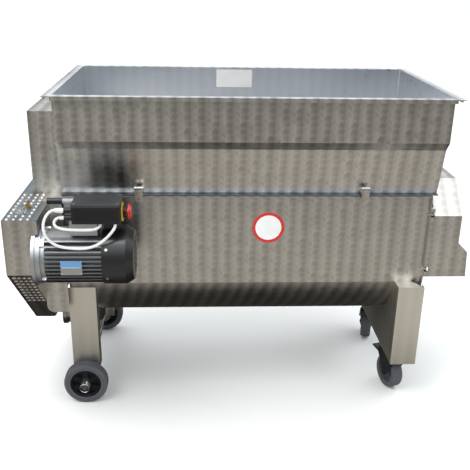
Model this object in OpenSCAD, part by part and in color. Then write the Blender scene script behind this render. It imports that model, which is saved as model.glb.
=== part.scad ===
// Grape crusher destemmer: a rectangular hopper with a feed screw over two crushing rollers, a U trough
// with a perforated drum and a beater, a belt and chain drive at the left end, a stem chute at the right
// end, two wheels on an axle and two braked casters.
// X runs along the machine, +Y to its back, Z up from the floor.

/* [Hopper] */
// Length of the hopper rim
rim_l = 1040; // [860:5:1260]
// Depth of the hopper rim, front to back
rim_d = 550; // [500:5:660]
// Height of the rim above the floor
rim_h = 900; // [840:5:1080]
// Width of the rim's flat flange
rim_flange = 20; // [14:1:24]
// Height of the rim's folded lip
rim_lip = 10; // [6:1:14]
// Height of the upright collar under the rim
collar_h = 115; // [80:5:140]
// Height of the hopper from rim to joint
hopper_h = 266; // [240:2:320]

/* [Trough] */
// Outside radius of the trough's round bottom
trough_r = 200; // [190:1:215]
// Height of the joint above the drum's axis
joint_above_axis = 218; // [205:1:260]
// Sheet thickness of hopper, trough and covers
sheet = 2; // [1.5:0.5:3]
// Width of the flange at the joint
joint_flange = 20; // [16:1:26]

/* [Working parts] */
// Outside radius of the perforated drum
drum_r = 150; // [130:1:158]
// Radius of a drum hole
drum_hole_r = 13; // [8:1:15]
// Reach of the beater's paddles from its axis
beater_reach = 134; // [90:1:140]
// Radius of the beater shaft
beater_shaft_r = 15; // [12:0.5:16]
// Outside radius of the feed screw
screw_r = 58; // [45:1:60]
// Pitch of the feed screw
screw_pitch = 110; // [80:5:140]
// Outside radius of a crushing roller
roller_r = 45; // [38:1:48]

/* [Drive] */
// Width of the drive casing along X
casing_w = 55; // [50:1:70]
// Radius of the motor's belt pulley at its groove
motor_pulley_r = 30; // [26:1:34]
// Radius of the beater's belt pulley at its groove
beater_pulley_r = 96; // [70:1:110]
// Outside radius of the motor's housing
motor_r = 75; // [68:1:80]
// Length of the motor's finned housing and fan cover
motor_l = 230; // [200:5:280]

/* [Running gear] */
// Radius of a rear wheel
wheel_r = 62.5; // [55:0.5:75]
// Width of a rear wheel
wheel_w = 35; // [28:1:40]
// Radius of the axle
axle_r = 8; // [6:0.5:10]
// Radius of a caster wheel
caster_r = 50; // [40:1:55]
// Width of a caster wheel
caster_w = 32; // [25:1:34]
// Width of a left leg
left_leg_w = 76; // [60:1:90]
// Width of a right leg
right_leg_w = 73; // [66:1:90]

/* [Hidden] */
$fn = 96;
large_fn = 192;       // sides of the trough's and the drum's circles

// Fits and gaps
fit = 0.06;          // radial running clearance
seat = 0.3;          // gap between pieces that are screwed or welded face to face
hull_fn = 32;        // sides of a round child inside a hull

// Hopper outline, measured from the machine's centre line
body_half = rim_l / 2 - rim_flange;
collar_y = rim_d / 2 - rim_flange;
seam_drop = 23;
seam_y = collar_y - 20;
joint_z = rim_h - hopper_h;
neck_y = trough_r + 5;
collar_z = rim_h - collar_h;
seam_z = collar_z - seam_drop;

// Trough and joint
axis_z = joint_z - joint_above_axis;
trough_left = -body_half + 2;
trough_right = body_half - 14;
gasket_t = 3;
flange_t = 3;
trough_top = joint_z - gasket_t;
flange_y = trough_r + joint_flange;
panel_drop = 44;     // how far the flat panels reach below the axis
end_plate_t = 3;
end_reach = 15;      // how far the right end plate stands out past the trough
end_r = trough_r + end_reach;

// Feed screw, rollers and drum
screw_z = joint_z + 34;
channel_r = screw_r + 4;
screw_shaft_r = 14;
roller_z = axis_z + 142;
roller_gap = 14;
roller_y = roller_r + roller_gap / 2;
roller_shaft_r = 12;
crush_left = trough_left + 28;
bulkhead_x = trough_left + 210;
bulkhead_t = 3;
drum_left = bulkhead_x + 18;
drum_right = trough_right - 2;
drum_wall = 2;
quill_r = 26;
lobes = 8;

// Drive train: positions along X, from the outside in
casing_left = -body_half - 120;
belt_x = casing_left + 27;
fast_chain_x = casing_left + 44;
plate_x = casing_left + casing_w;
plate_t = 3;
slow_chain_x = plate_x + 30;
gear_x = -body_half - 13;
chain_pitch = 12.7;
fast_teeth = 12;
screw_teeth = 36;
slow_teeth = 12;
roller_teeth = 18;
drum_teeth = 30;
function sprocket_r(teeth) = teeth * chain_pitch / (2 * PI);
gear_teeth = 26;
gear_module = 2 * roller_y / gear_teeth;

// Drive casing outline
casing_front = -collar_y - 108;
casing_top = joint_z - 19;
casing_step = casing_top - 145;
casing_bottom = axis_z - 191;
cheek_y = end_r;
casing_slant_y = casing_front + casing_step - casing_bottom;
nose_right = plate_x + 30;
cover_left = -body_half - 90;
cover_half = 135;
cover_top = rim_h - 64;
cheek_bottom = axis_z - 127;
cheek_corner_r = 20;

// Motor
motor_y = casing_front + 42;
motor_z = casing_top - 105;
motor_face = plate_x + plate_t + 12;
shield_l = 30;
fan_l = 76;
fan_x = motor_face + motor_l + 16 - fan_l;
motor_end = fan_x + fan_l;
motor_shaft_r = 9.5;

// Switch box, measured from the motor's top
box_left = motor_face + 103;
box_l = 116;
box_y0 = motor_y - 61;
box_d = 88;
pedestal_h = 28;
box_z = motor_z + motor_r + pedestal_h;
box_h = 42;
lid_t = 6;
stop_y = motor_y - 12;
stop_z = box_z + 16;
stop_travel = 5;

// Running gear
axle_z = wheel_r;
left_leg_x = -body_half - 7;
axle_x = left_leg_x + left_leg_w / 2;
left_leg_y = trough_r - 10;
left_leg_fold = 40;
wheel_out = left_leg_y + 8 + wheel_w;
axle_half = wheel_out + 18;
leg_edge_gap = 0.8;   // from the right leg's edge past the trough's end
right_leg_x = trough_right - right_leg_w + leg_edge_gap;
right_leg_y = trough_r + 45;
stand_bottom = caster_r * 2 + 26;
stand_top = axis_z - 43;
caster_trail = 36;
caster_x = right_leg_x + right_leg_w / 2 + 4;
caster_y = right_leg_y - 57;
caster_turn_front = 18;
caster_turn_rear = -18;

// Stem chute
chute_x = trough_right + 14;
chute_w = 77;
chute_flare = 28;
chute_foot = 32.5;
chute_y = end_r;
chute_bottom = axis_z - 23;
chute_bend = axis_z + 79;
chute_knee = chute_bend - 28;
chute_shoulder = axis_z + 158;
chute_top = axis_z + 241;
chute_top_y = chute_y - (chute_top - chute_shoulder);

// Joint clasps
clasp_xs = [-body_half + 202, body_half - 200];
clasp_w = 22;
clasp_z = joint_z + 21;
clasp_y = -flange_y - 6;
clasp_l = 37;
knuckle_r = 5;

// Origin of the part: middle of its footprint, on the floor
overall_left = casing_left;
overall_right = chute_x + chute_w + chute_foot;
overall_front = motor_y - motor_r - 3;
overall_back = rim_d / 2;
origin = [(overall_left + overall_right) / 2, (overall_front + overall_back) / 2, 0];

// Colours
steel = [0.62, 0.61, 0.58];
dark_steel = [0.42, 0.42, 0.41];
black = [0.08, 0.08, 0.09];
zinc = [0.72, 0.73, 0.75];

// ---- Helpers ----

module place() {
    translate(-origin) children();
}

// Extrudes an outline drawn in Y and Z along X
module along_x(x, l) {
    translate([x, 0, 0]) rotate([90, 0, 90]) linear_extrude(l) children();
}

// Extrudes an outline drawn in X and Z along Y
module along_y(y, l) {
    translate([0, y + l, 0]) rotate([90, 0, 0]) linear_extrude(l) children();
}

module rod_x(x, l, r, y = 0, z = 0) {
    translate([x, y, z]) rotate([0, 90, 0]) cylinder(h = l, r = r);
}

module rod_y(y, l, r, x = 0, z = 0) {
    translate([x, y, z]) rotate([-90, 0, 0]) cylinder(h = l, r = r);
}

module box_at(low, high) {
    translate(low) cube(high - low);
}

module rounded_rect(w, h, r) {
    translate([r, 0]) square([w - 2 * r, h]);
    translate([0, r]) square([w, h - 2 * r]);
    for (x = [r, w - r])
        for (y = [r, h - r])
            translate([x, y]) circle(r);
}

// Both sides of the machine's centre plane
module both_sides() {
    children();
    mirror([0, 1, 0]) children();
}

// Teeth as a closed outline: four points a tooth
function tooth_ring(n, root, tip, half_root, half_tip) = [
    for (i = [0 : n - 1])
        for (k = [0 : 3])
            let (side = [-half_root, -half_tip, half_tip, half_root][k],
                 r = (k == 0 || k == 3) ? root : tip,
                 a = 360 / n * (i + side))
            [r * cos(a), r * sin(a)]
];

module gear(teeth, mod, t, shaft) {
    linear_extrude(t) difference() {
        polygon(tooth_ring(teeth, mod * (teeth / 2 - 1.2), mod * (teeth / 2 + 0.85), 0.22, 0.09));
        circle(shaft);
    }
}

module sprocket(teeth, t, shaft) {
    r = sprocket_r(teeth);
    linear_extrude(t) difference() {
        polygon(tooth_ring(teeth, r - 3.5, r + 4, 0.24, 0.08));
        circle(shaft);
    }
}

// Turns a part drawn on Z so that it runs on X
module face_x(x, y, z) {
    translate([x, y, z]) rotate([90, 0, 90]) children();
}

// ---- Hopper ----

module hopper_outline(inset) {
    polygon([
        [-collar_y + inset, rim_h], [-collar_y + inset, collar_z], [-seam_y + inset, seam_z],
        [-neck_y + inset, joint_z], [neck_y - inset, joint_z], [seam_y - inset, seam_z],
        [collar_y - inset, collar_z], [collar_y - inset, rim_h]
    ]);
}

module hopper_shell() {
    color(steel) place() difference() {
        union() {
            along_x(-body_half, 2 * body_half) hopper_outline(0);
            box_at([-rim_l / 2, -rim_d / 2, rim_h - sheet], [rim_l / 2, rim_d / 2, rim_h]);
            both_sides() {
                box_at([-body_half, -rim_d / 2, rim_h - rim_lip], [body_half, -rim_d / 2 + sheet, rim_h]);
                box_at([-body_half, -flange_y, joint_z], [body_half, -neck_y + sheet, joint_z + flange_t]);
            }
            for (s = [-1, 1])
                translate([s > 0 ? rim_l / 2 - sheet : -rim_l / 2, -collar_y, rim_h - rim_lip])
                    cube([sheet, 2 * collar_y, rim_lip]);
        }
        along_x(-body_half + sheet, 2 * (body_half - sheet)) hopper_outline(sheet);
        box_at([-body_half + sheet, -neck_y + sheet, joint_z - 1], [body_half - sheet, neck_y - sheet, joint_z + 1]);
        box_at([-body_half + sheet, -collar_y + sheet, rim_h - sheet - 1],
               [body_half - sheet, collar_y - sheet, rim_h + 1]);
        rod_x(-body_half - 1, sheet + 2, screw_shaft_r + 2, 0, screw_z);
    }
}

// Two sloping sheets that lead into the screw's round channel
floor_top = seam_z - 4;
floor_edge_y = seam_y - sheet - seat - 1.6;
channel_z = screw_z + 22;
channel_edge_y = sqrt(pow(channel_r, 2) - pow(channel_z - screw_z, 2));

module floor_outline() {
    for (s = [-1, 1])
        polygon([
            [s * floor_edge_y, floor_top], [s * channel_edge_y, channel_z],
            [s * channel_edge_y, channel_z - sheet * 1.2], [s * floor_edge_y, floor_top - sheet * 1.2]
        ]);
    difference() {
        translate([0, screw_z]) circle(channel_r + sheet);
        translate([0, screw_z]) circle(channel_r);
        translate([-channel_r - 5, channel_z]) square([2 * channel_r + 10, channel_r + 10]);
    }
}

module hopper_floor() {
    color(steel) place() difference() {
        along_x(-body_half + sheet + seat, 2 * (body_half - sheet - seat)) floor_outline();
        box_at([crush_left, -channel_edge_y + 2, joint_z - 60], [bulkhead_x - 4, channel_edge_y - 2, channel_z - 6]);
    }
}

module joint_gasket() {
    color(black) place() both_sides()
        box_at([-body_half, -flange_y + 2, trough_top], [trough_right, -trough_r + 2, joint_z]);
}

// ---- Trough ----

module trough_outline(r, top) {
    translate([0, axis_z]) circle(r, $fn = large_fn);
    translate([-r, axis_z]) square([2 * r, top - axis_z]);
}

outlet_x = trough_left + 34;
outlet_r = 30;

module trough_shell() {
    color(steel) place() difference() {
        union() {
            along_x(trough_left, trough_right - trough_left) trough_outline(trough_r, trough_top);
            both_sides()
                box_at([trough_left, -flange_y, trough_top - flange_t], [trough_right, -trough_r + 1, trough_top]);
        }
        difference() {
            along_x(trough_left - 1, trough_right - trough_left + 2) trough_outline(trough_r - sheet, trough_top + 1);
            along_x(bulkhead_x, bulkhead_t) difference() {
                trough_outline(trough_r, roller_z + 40);
                translate([0, axis_z]) circle(100);
                for (s = [-1, 1])
                    translate([s * roller_y, roller_z]) circle(roller_shaft_r + 4);
                translate([0, screw_z]) circle(channel_r + sheet + seat);
            }
        }
        translate([outlet_x, 0, axis_z - trough_r - 10]) cylinder(h = 30, r = outlet_r - 2);
    }
}

module trough_panels() {
    color(steel) place() both_sides()
        box_at([trough_left, -trough_r - 0.2 - sheet, axis_z - panel_drop],
               [trough_right, -trough_r - 0.2, trough_top - flange_t - seat]);
}

module trough_end_left() {
    color(steel) place() difference() {
        along_x(-body_half - 1.3, end_plate_t) trough_outline(trough_r, trough_top - 1);
        rod_x(-body_half - 5, 10, quill_r + 3, 0, axis_z);
        for (s = [-1, 1])
            rod_x(-body_half - 5, 10, roller_shaft_r + 2, s * roller_y, roller_z);
    }
}

bridge_half = 18;
stem_hole_r = drum_r - 10;

module trough_end_right() {
    color(steel) place() difference() {
        union() {
            along_x(trough_right + seat, end_plate_t) difference() {
                trough_outline(end_r, trough_top - flange_t - 1);
                difference() {
                    translate([0, axis_z]) circle(stem_hole_r);
                    translate([-bridge_half, axis_z - drum_r]) square([2 * bridge_half, 2 * drum_r]);
                }
            }
            difference() {
                rod_x(trough_right - 16, 17, drum_r + 6, 0, axis_z, $fn = large_fn);
                rod_x(trough_right - 17, 17 + seat, drum_r + fit, 0, axis_z, $fn = large_fn);
            }
            rod_x(trough_right + seat, 12, 28, 0, axis_z);
        }
        rod_x(trough_right - 20, 40, beater_shaft_r + fit, 0, axis_z);
        rod_x(trough_right - 1, 10, channel_r + sheet + seat, 0, screw_z);
        for (y = [-end_bolt_y, end_bolt_y])
            for (z = end_bolt_z)
                rod_x(trough_right - 1, 10, 3 + seat / 3, y, z);
    }
}

end_bolt_z = [axis_z - 1, axis_z + 161];
end_bolt_y = trough_r + 8;

module hex_bolt_x(x, l, r, y, z) {
    rod_x(x, l, r, y, z);
    rod_x(x - r * 1.3, r * 1.3, r * 1.8, y, z, $fn = 6);
    rod_x(x + l, r * 1.3, r * 1.8, y, z, $fn = 6);
}

flange_stack = 7;

module flange_bolts() {
    color(zinc) place() both_sides()
        for (z = end_bolt_z)
            hex_bolt_x(trough_right + seat, flange_stack, 3, -end_bolt_y, z);
}

module clasp_brackets() {
    color(zinc) place()
        for (x = clasp_xs) {
            box_at([x - clasp_w / 2, clasp_y - 1, joint_z + flange_t + seat],
                   [x - clasp_w / 4 - 0.5, -neck_y - 4, joint_z + flange_t + 12]);
            box_at([x + clasp_w / 4 + 0.5, clasp_y - 1, joint_z + flange_t + seat],
                   [x + clasp_w / 2, -neck_y - 4, joint_z + flange_t + 12]);
            for (s = [-1, 1])
                translate([x + s * clasp_w * 0.375 - (clasp_w / 8 - 0.25), clasp_y, clasp_z])
                    rotate([0, 90, 0]) cylinder(h = clasp_w / 4 - 0.5, r = knuckle_r);
            for (s = [-1, 1])
                box_at([x + s * clasp_w * 0.375 - (clasp_w / 8 - 0.25), clasp_y - 1, joint_z + flange_t + 5],
                       [x + s * clasp_w * 0.375 + (clasp_w / 8 - 0.25), clasp_y + 3, clasp_z]);
            rod_x(x - clasp_w / 2, clasp_w, 2, clasp_y, clasp_z);
        }
}

module clasp(x) {
    difference() {
        union() {
            rod_x(x - clasp_w / 4, clasp_w / 2, knuckle_r, clasp_y, clasp_z);
            box_at([x - clasp_w / 4, clasp_y - 3, clasp_z - knuckle_r - 4], [x + clasp_w / 4, clasp_y - 1, clasp_z]);
            box_at([x - clasp_w / 2 + 1, clasp_y - 4, clasp_z - clasp_l],
                   [x + clasp_w / 2 - 1, clasp_y - 2, clasp_z - knuckle_r - 2]);
        }
        rod_x(x - clasp_w, 2 * clasp_w, 2 + fit, clasp_y, clasp_z);
        rod_y(clasp_y - 8, 10, 3, x, clasp_z - clasp_l + 10);
    }
}

module clasp_left() {
    color(steel) place() clasp(clasp_xs[0]);
}

module clasp_right() {
    color(steel) place() clasp(clasp_xs[1]);
}

// ---- Stem chute ----

// The chute's side outline, drawn in X and Z from its flange
module chute_side(inset) {
    polygon([
        [0, chute_bottom - 1], [0, chute_top - inset], [chute_w - inset, chute_top - inset],
        [chute_w - inset, chute_bend], [chute_w + chute_flare - inset, chute_knee],
        [chute_w + chute_foot - inset, chute_bottom - 1]
    ]);
}

// The chute's outline across the machine, drawn in Y and Z
module chute_front(inset) {
    polygon([
        [-chute_y + inset, chute_bottom - 1], [-chute_y + inset, chute_shoulder],
        [-chute_top_y + inset / 2, chute_top - inset], [chute_top_y - inset / 2, chute_top - inset],
        [chute_y - inset, chute_shoulder], [chute_y - inset, chute_bottom - 1]
    ]);
}

module chute_body(inset) {
    intersection() {
        translate([chute_x, 0, 0]) along_y(-chute_y, 2 * chute_y) chute_side(inset);
        along_x(chute_x - 1, chute_w + chute_foot + 2) chute_front(inset);
        box_at([chute_x - 1, -end_r, chute_bottom - (inset > 0 ? 1 : 0)],
               [overall_right + 1, end_r, chute_top + 1]);
    }
}

module stem_chute() {
    color(steel) place() {
        difference() {
            chute_body(0);
            chute_body(sheet);
        }
        along_x(trough_right + seat + end_plate_t + seat, chute_x - trough_right - 2 * seat - end_plate_t)
            difference() {
                translate([-chute_y, chute_bottom]) square([2 * chute_y, chute_shoulder + 20 - chute_bottom]);
                translate([-chute_y + end_reach + 10, chute_bottom - 1])
                    square([2 * (chute_y - end_reach - 10), chute_shoulder + 8 - chute_bottom]);
                for (y = [-end_bolt_y, end_bolt_y])
                    for (z = end_bolt_z)
                        translate([y, z]) square([14, 14], center = true);
            }
    }
}

// ---- Drive frame and covers ----

module casing_outline(inset) {
    k = inset * (sqrt(2) - 1);
    polygon([
        [casing_front + inset, casing_top - inset], [casing_front + inset, casing_step + k],
        [casing_slant_y + k, casing_bottom + inset], [-casing_slant_y - k, casing_bottom + inset],
        [cheek_y - inset, casing_bottom + cheek_y + casing_slant_y + k], [cheek_y - inset, casing_top - inset]
    ]);
}

module cheek_outline() {
    x0 = plate_x + plate_t;
    x1 = -body_half - 2;
    translate([x0, cheek_bottom + cheek_corner_r]) square([x1 - x0, casing_top - cheek_bottom - cheek_corner_r]);
    translate([x0 + cheek_corner_r, cheek_bottom]) square([x1 - x0 - cheek_corner_r, cheek_corner_r + 1]);
    translate([x0 + cheek_corner_r, cheek_bottom + cheek_corner_r]) circle(cheek_corner_r);
}

screw_x = casing_left + 36;
screw_y = motor_y + 14;

module drive_frame() {
    color(steel) place() {
        difference() {
            union() {
                along_x(plate_x, plate_t) casing_outline(sheet + seat);
                along_y(-cheek_y, sheet) cheek_outline();
                along_y(cheek_y - sheet, sheet) cheek_outline();
                box_at([plate_x + 0.5, -cheek_y, casing_top - sheet], [-body_half - 2, cheek_y, casing_top]);
                rod_x(plate_x + 1, motor_face - plate_x - 1 - seat, 37, motor_y, motor_z);
                rod_x(plate_x, 14, 30, 0, axis_z);
                box_at([screw_x - 8, screw_y - 10, casing_top - 26], [plate_x + 1, screw_y + 10, casing_top - 16]);
            }
            rod_x(plate_x - 1, 20, beater_shaft_r + fit, 0, axis_z);
            rod_x(plate_x - 1, 20, 30, motor_y, motor_z);
            translate([screw_x, screw_y, casing_top - 40]) cylinder(h = 40, r = knob_stem_r + fit);
            box_at([plate_x - 1, -100, casing_top - sheet - 3], [gear_x + 7, 115, casing_top + 1]);
        }
    }
}

knob_stem_r = 3;

module drive_casing() {
    color(steel) place() difference() {
        union() {
            difference() {
                along_x(casing_left, casing_w - seat) casing_outline(0);
                along_x(casing_left + sheet, casing_w) casing_outline(sheet);
            }
            difference() {
                box_at([plate_x - sheet, casing_front, casing_step], [nose_right, -cheek_y - seat, casing_top]);
                box_at([plate_x - sheet - 1, casing_front + sheet, casing_step + sheet],
                       [nose_right - sheet, -cheek_y + 1, casing_top - sheet]);
                along_x(plate_x - sheet - 1, sheet + plate_t + 2) casing_outline(sheet);
            }
        }
        rod_x(motor_face - 1, 40, motor_r + 5, motor_y, motor_z);
        box_at([cover_left + 6, -cover_half + 35, casing_top - sheet - 1], [plate_x + 5, cover_half - 35, casing_top + 1]);
        translate([screw_x, screw_y, casing_top - 5]) cylinder(h = 10, r = knob_stem_r + 1);
    }
}

module screw_cover() {
    color(steel) place() difference() {
        box_at([cover_left, -cover_half, casing_top + seat], [-body_half - 1.3 - seat, cover_half, cover_top]);
        box_at([cover_left + sheet, -cover_half + sheet, casing_top - 1],
               [-body_half + 1, cover_half - sheet, cover_top - sheet]);
    }
}

stud_x = plate_x - 12;
stud_y = screw_y + 46;

module casing_studs() {
    color("goldenrod") place() {
        translate([stud_x, stud_y, casing_top + 0.1]) cylinder(h = 18, r = 3);
        translate([stud_x, stud_y, casing_top + 0.1]) cylinder(h = 2, r = 9);
        translate([stud_x, stud_y, casing_top + 2]) cylinder(h = 7, r = 6.5, $fn = 6);
    }
    color("white") place() difference() {
        translate([screw_x, screw_y, casing_top + 0.1]) cylinder(h = 1.5, r = 12);
        translate([screw_x, screw_y, casing_top]) cylinder(h = 4, r = knob_stem_r + 1);
    }
}

module tension_knob() {
    color(zinc) place() translate([screw_x, screw_y, casing_top]) {
        translate([0, 0, -34]) cylinder(h = 44, r = knob_stem_r);
        translate([0, 0, 2]) cylinder(h = 3, r = 7);
        translate([0, 0, 12]) rotate([90, 0, 0]) translate([0, 0, -1.5]) linear_extrude(3) {
            translate([-9, 0]) circle(6);
            translate([9, 0]) circle(6);
            translate([-9, -5]) square([18, 7]);
        }
    }
}

// ---- Legs, axle and wheels ----

module trough_clearance() {
    rod_x(-rim_l, 2 * rim_l, trough_r + seat, 0, axis_z, $fn = large_fn);
    box_at([-rim_l, -trough_r - sheet - 0.5, axis_z - panel_drop - seat],
           [rim_l, trough_r + sheet + 0.5, joint_z]);
}

leg_foot = 22;

module left_leg() {
    difference() {
        union() {
            box_at([left_leg_x, -left_leg_y, axle_z], [left_leg_x + left_leg_w, -left_leg_y + sheet, axis_z]);
            rod_y(-left_leg_y, sheet, leg_foot, axle_x, axle_z);
            box_at([axle_x - leg_foot, -left_leg_y, axle_z], [axle_x + leg_foot, -left_leg_y + sheet, axle_z + 40]);
            for (x = [left_leg_x, left_leg_x + left_leg_w - sheet])
                box_at([x, -left_leg_y, axle_z + 30], [x + sheet, -left_leg_y + left_leg_fold, axis_z]);
        }
        trough_clearance();
        rod_y(-left_leg_y - 1, sheet + 2, axle_r + fit, axle_x, axle_z);
        for (s = [-1, 1])
            translate([axle_x + s * left_leg_w / 2, -left_leg_y - 1, axle_z])
                rotate([0, s * 25, 0])
                    translate([s > 0 ? 0 : -40, 0, -60]) cube([40, 5, 60]);
    }
}

module left_legs() {
    color(steel) place() both_sides() left_leg();
}

pin_r = 2.5;
pin_y = wheel_out + 7;

module wheel_axle() {
    color(zinc) place() difference() {
        union() {
            rod_y(-axle_half, 2 * axle_half, axle_r, axle_x, axle_z);
            both_sides() rod_y(-left_leg_y - 7.5, 7, axle_r + 4, axle_x, axle_z);
            both_sides() rod_y(-wheel_out - 2.5, 2, axle_r + 6, axle_x, axle_z);
        }
        both_sides() translate([axle_x, -pin_y, 0]) cylinder(h = 2 * axle_z, r = pin_r + 0.05);
    }
}

ring_r = 13;
ring_wire = 1.5;

module linch_pins() {
    color(zinc) place() both_sides() {
        translate([axle_x, -pin_y, axle_z - 14]) cylinder(h = 28, r = pin_r);
        rod_y(-axle_half - 2, axle_half + 2 - pin_y, ring_wire, axle_x, axle_z + ring_r);
        translate([axle_x, -axle_half - 2, axle_z]) rotate([90, 0, 0]) rotate_extrude()
            translate([ring_r, 0]) circle(ring_wire);
    }
}

hub_r = wheel_r - 18;

module tyre() {
    translate([axle_x, -wheel_out + wheel_w / 2, axle_z]) rotate([90, 0, 0]) rotate_extrude() {
        difference() {
            union() {
                translate([hub_r + 0.05, -wheel_w / 2]) square([wheel_r - hub_r - 7, wheel_w]);
                translate([hub_r + 0.05, -wheel_w / 2 + 7]) square([wheel_r - hub_r - 0.05, wheel_w - 14]);
                for (s = [-1, 1])
                    translate([wheel_r - 7, s * (wheel_w / 2 - 7)]) circle(7);
            }
            translate([wheel_r - 7, -0.8]) square([8, 1.6]);
        }
    }
}

module hub() {
    translate([axle_x, -wheel_out + wheel_w / 2, axle_z]) rotate([90, 0, 0]) difference() {
        union() {
            cylinder(h = wheel_w, r = axle_r + 8, center = true);
            cylinder(h = 8, r = hub_r, center = true);
            difference() {
                cylinder(h = wheel_w - 6, r = hub_r, center = true);
                cylinder(h = wheel_w, r = hub_r - 6, center = true);
            }
            for (i = [0 : 4])
                rotate(72 * i) translate([0, -3, -wheel_w / 2 + 5]) cube([hub_r - 3, 6, wheel_w - 10]);
        }
        cylinder(h = 2 * wheel_w, r = axle_r + fit, center = true);
    }
}

module tyre_front() {
    color(black) place() tyre();
}

module hub_front() {
    color("dimgray") place() hub();
}

module tyre_rear() {
    color(black) place() mirror([0, 1, 0]) tyre();
}

module hub_rear() {
    color("dimgray") place() mirror([0, 1, 0]) hub();
}

// ---- Right stand and casters ----

module stand_leg() {
    box_at([right_leg_x, -right_leg_y, stand_bottom],
           [right_leg_x + right_leg_w, -right_leg_y + sheet, stand_top]);
    box_at([right_leg_x + right_leg_w - sheet, -right_leg_y, stand_bottom],
           [right_leg_x + right_leg_w, -right_leg_y + 18, stand_top]);
    box_at([right_leg_x, -right_leg_y, stand_bottom], [right_leg_x + right_leg_w, -right_leg_y + 112, stand_bottom + 3]);
    translate([0, 0, stand_top - sheet]) linear_extrude(sheet) polygon([
        [right_leg_x, -right_leg_y], [right_leg_x + right_leg_w, -right_leg_y],
        [right_leg_x + right_leg_w - 29, -trough_r], [right_leg_x, -trough_r]
    ]);
}

module right_stand() {
    color(steel) place() difference() {
        union() {
            both_sides() stand_leg();
            box_at([right_leg_x, -right_leg_y, stand_bottom], [right_leg_x + sheet, right_leg_y, stand_top]);
        }
        trough_clearance();
    }
}

function caster_place(side) = [caster_x, side * caster_y, 0];
plate_z = stand_bottom - seat;
race_top = plate_z - 3;
kingpin_r = 6;

module caster_plates() {
    color(zinc) place() for (side = [-1, 1]) translate(caster_place(side)) {
        translate([-30, -34, race_top]) cube([60, 68, 3]);
        translate([0, 0, caster_r * 2 + 17.5]) cylinder(h = race_top - caster_r * 2 - 17.4, r = 20);
        translate([0, 0, caster_r * 2 + 4]) cylinder(h = 16, r = kingpin_r);
        translate([0, 0, caster_r * 2 + 4]) cylinder(h = 5.5, r = 9);
    }
}

head_bottom = caster_r * 2 + 10;
pedal_y = caster_trail + 30;
pedal_z = head_bottom - 3;
pedal_pin_r = 4;
ear_y = pedal_y + 9;
arm_gap = caster_w / 2 + 1.5;

module fork() {
    difference() {
        union() {
            translate([0, 0, head_bottom]) cylinder(h = 7, r = 26);
            for (s = [-1, 1])
                translate([s > 0 ? arm_gap : -arm_gap - 3, 0, 0]) rotate([90, 0, 90]) linear_extrude(3) {
                    polygon([[-18, head_bottom + 7], [ear_y, head_bottom + 7], [ear_y, head_bottom - 12],
                             [caster_trail + 13, caster_r + 4], [caster_trail - 13, caster_r - 3]]);
                    translate([caster_trail, caster_r]) circle(13);
                }
            translate([-arm_gap - 6, caster_trail, caster_r]) rotate([0, 90, 0])
                cylinder(h = 2 * arm_gap + 12, r = 5);
        }
        translate([0, 0, head_bottom - 1]) cylinder(h = 20, r = kingpin_r + fit);
        rod_x(-arm_gap - 10, 2 * arm_gap + 20, pedal_pin_r + fit, pedal_y, pedal_z);
    }
}

module caster_wheel() {
    translate([0, caster_trail, caster_r]) rotate([90, 0, 90]) {
        rotate_extrude() {
            translate([caster_r - 14, -caster_w / 2]) square([9, caster_w]);
            translate([caster_r - 14, -caster_w / 2 + 5]) square([14, caster_w - 10]);
            for (s = [-1, 1])
                translate([caster_r - 5, s * (caster_w / 2 - 5)]) circle(5);
            translate([15, -4]) square([caster_r - 28, 8]);
            translate([5 + fit, -caster_w / 2]) square([11 - fit, caster_w]);
        }
    }
}

module pedal() {
    cheek_x = arm_gap + 3 + seat;
    rod_x(-cheek_x - 1, 2 * cheek_x + 2, pedal_pin_r, pedal_y, pedal_z);
    for (s = [-1, 1])
        translate([s > 0 ? cheek_x : -cheek_x - 3, 0, 0]) rotate([90, 0, 90]) linear_extrude(3)
            polygon([[pedal_y - 8, pedal_z - 6], [pedal_y + 38, pedal_z - 2],
                     [pedal_y + 38, pedal_z + 2], [pedal_y - 8, pedal_z + 6]]);
    translate([-cheek_x - 1, ear_y + 1, pedal_z - 2]) cube([2 * cheek_x + 2, pedal_y + 38 - ear_y, 3]);
}

module front_caster_place() {
    translate(caster_place(-1)) rotate(caster_turn_front) children();
}

module rear_caster_place() {
    translate(caster_place(1)) rotate(180 + caster_turn_rear) children();
}

module caster_fork_front() {
    color(black) place() front_caster_place() fork();
}

module caster_wheel_front() {
    color("dimgray") place() front_caster_place() caster_wheel();
}

module brake_pedal_front() {
    color(black) place() front_caster_place() pedal();
}

module caster_fork_rear() {
    color(black) place() rear_caster_place() fork();
}

module caster_wheel_rear() {
    color("dimgray") place() rear_caster_place() caster_wheel();
}

module brake_pedal_rear() {
    color(black) place() rear_caster_place() pedal();
}

// ---- Must outlet and bearings ----

outlet_drop = 40;
outlet_z = axis_z - trough_r - outlet_drop;
outlet_end = -body_half - 62;

module must_outlet() {
    color(steel) place() difference() {
        union() {
            translate([outlet_x, 0, outlet_z]) cylinder(h = outlet_drop + 2, r = outlet_r);
            translate([outlet_x, 0, outlet_z]) sphere(r = outlet_r);
            rod_x(outlet_end, outlet_x - outlet_end, outlet_r, 0, outlet_z);
            rod_x(outlet_end, 12, outlet_r + 4, 0, outlet_z);
        }
        translate([outlet_x, 0, outlet_z]) cylinder(h = outlet_drop + 10, r = outlet_r - 2);
        translate([outlet_x, 0, outlet_z]) sphere(r = outlet_r - 2);
        rod_x(outlet_end - 1, outlet_x - outlet_end + 1, outlet_r - 2, 0, outlet_z);
        rod_x(-rim_l, 2 * rim_l, trough_r + 0.1, 0, axis_z, $fn = large_fn);
    }
}

module bearing(x, l, r, bore, y, z) {
    difference() {
        rod_x(x, l, r, y, z);
        rod_x(x - 1, l + 2, bore + fit, y, z);
    }
}

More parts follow.
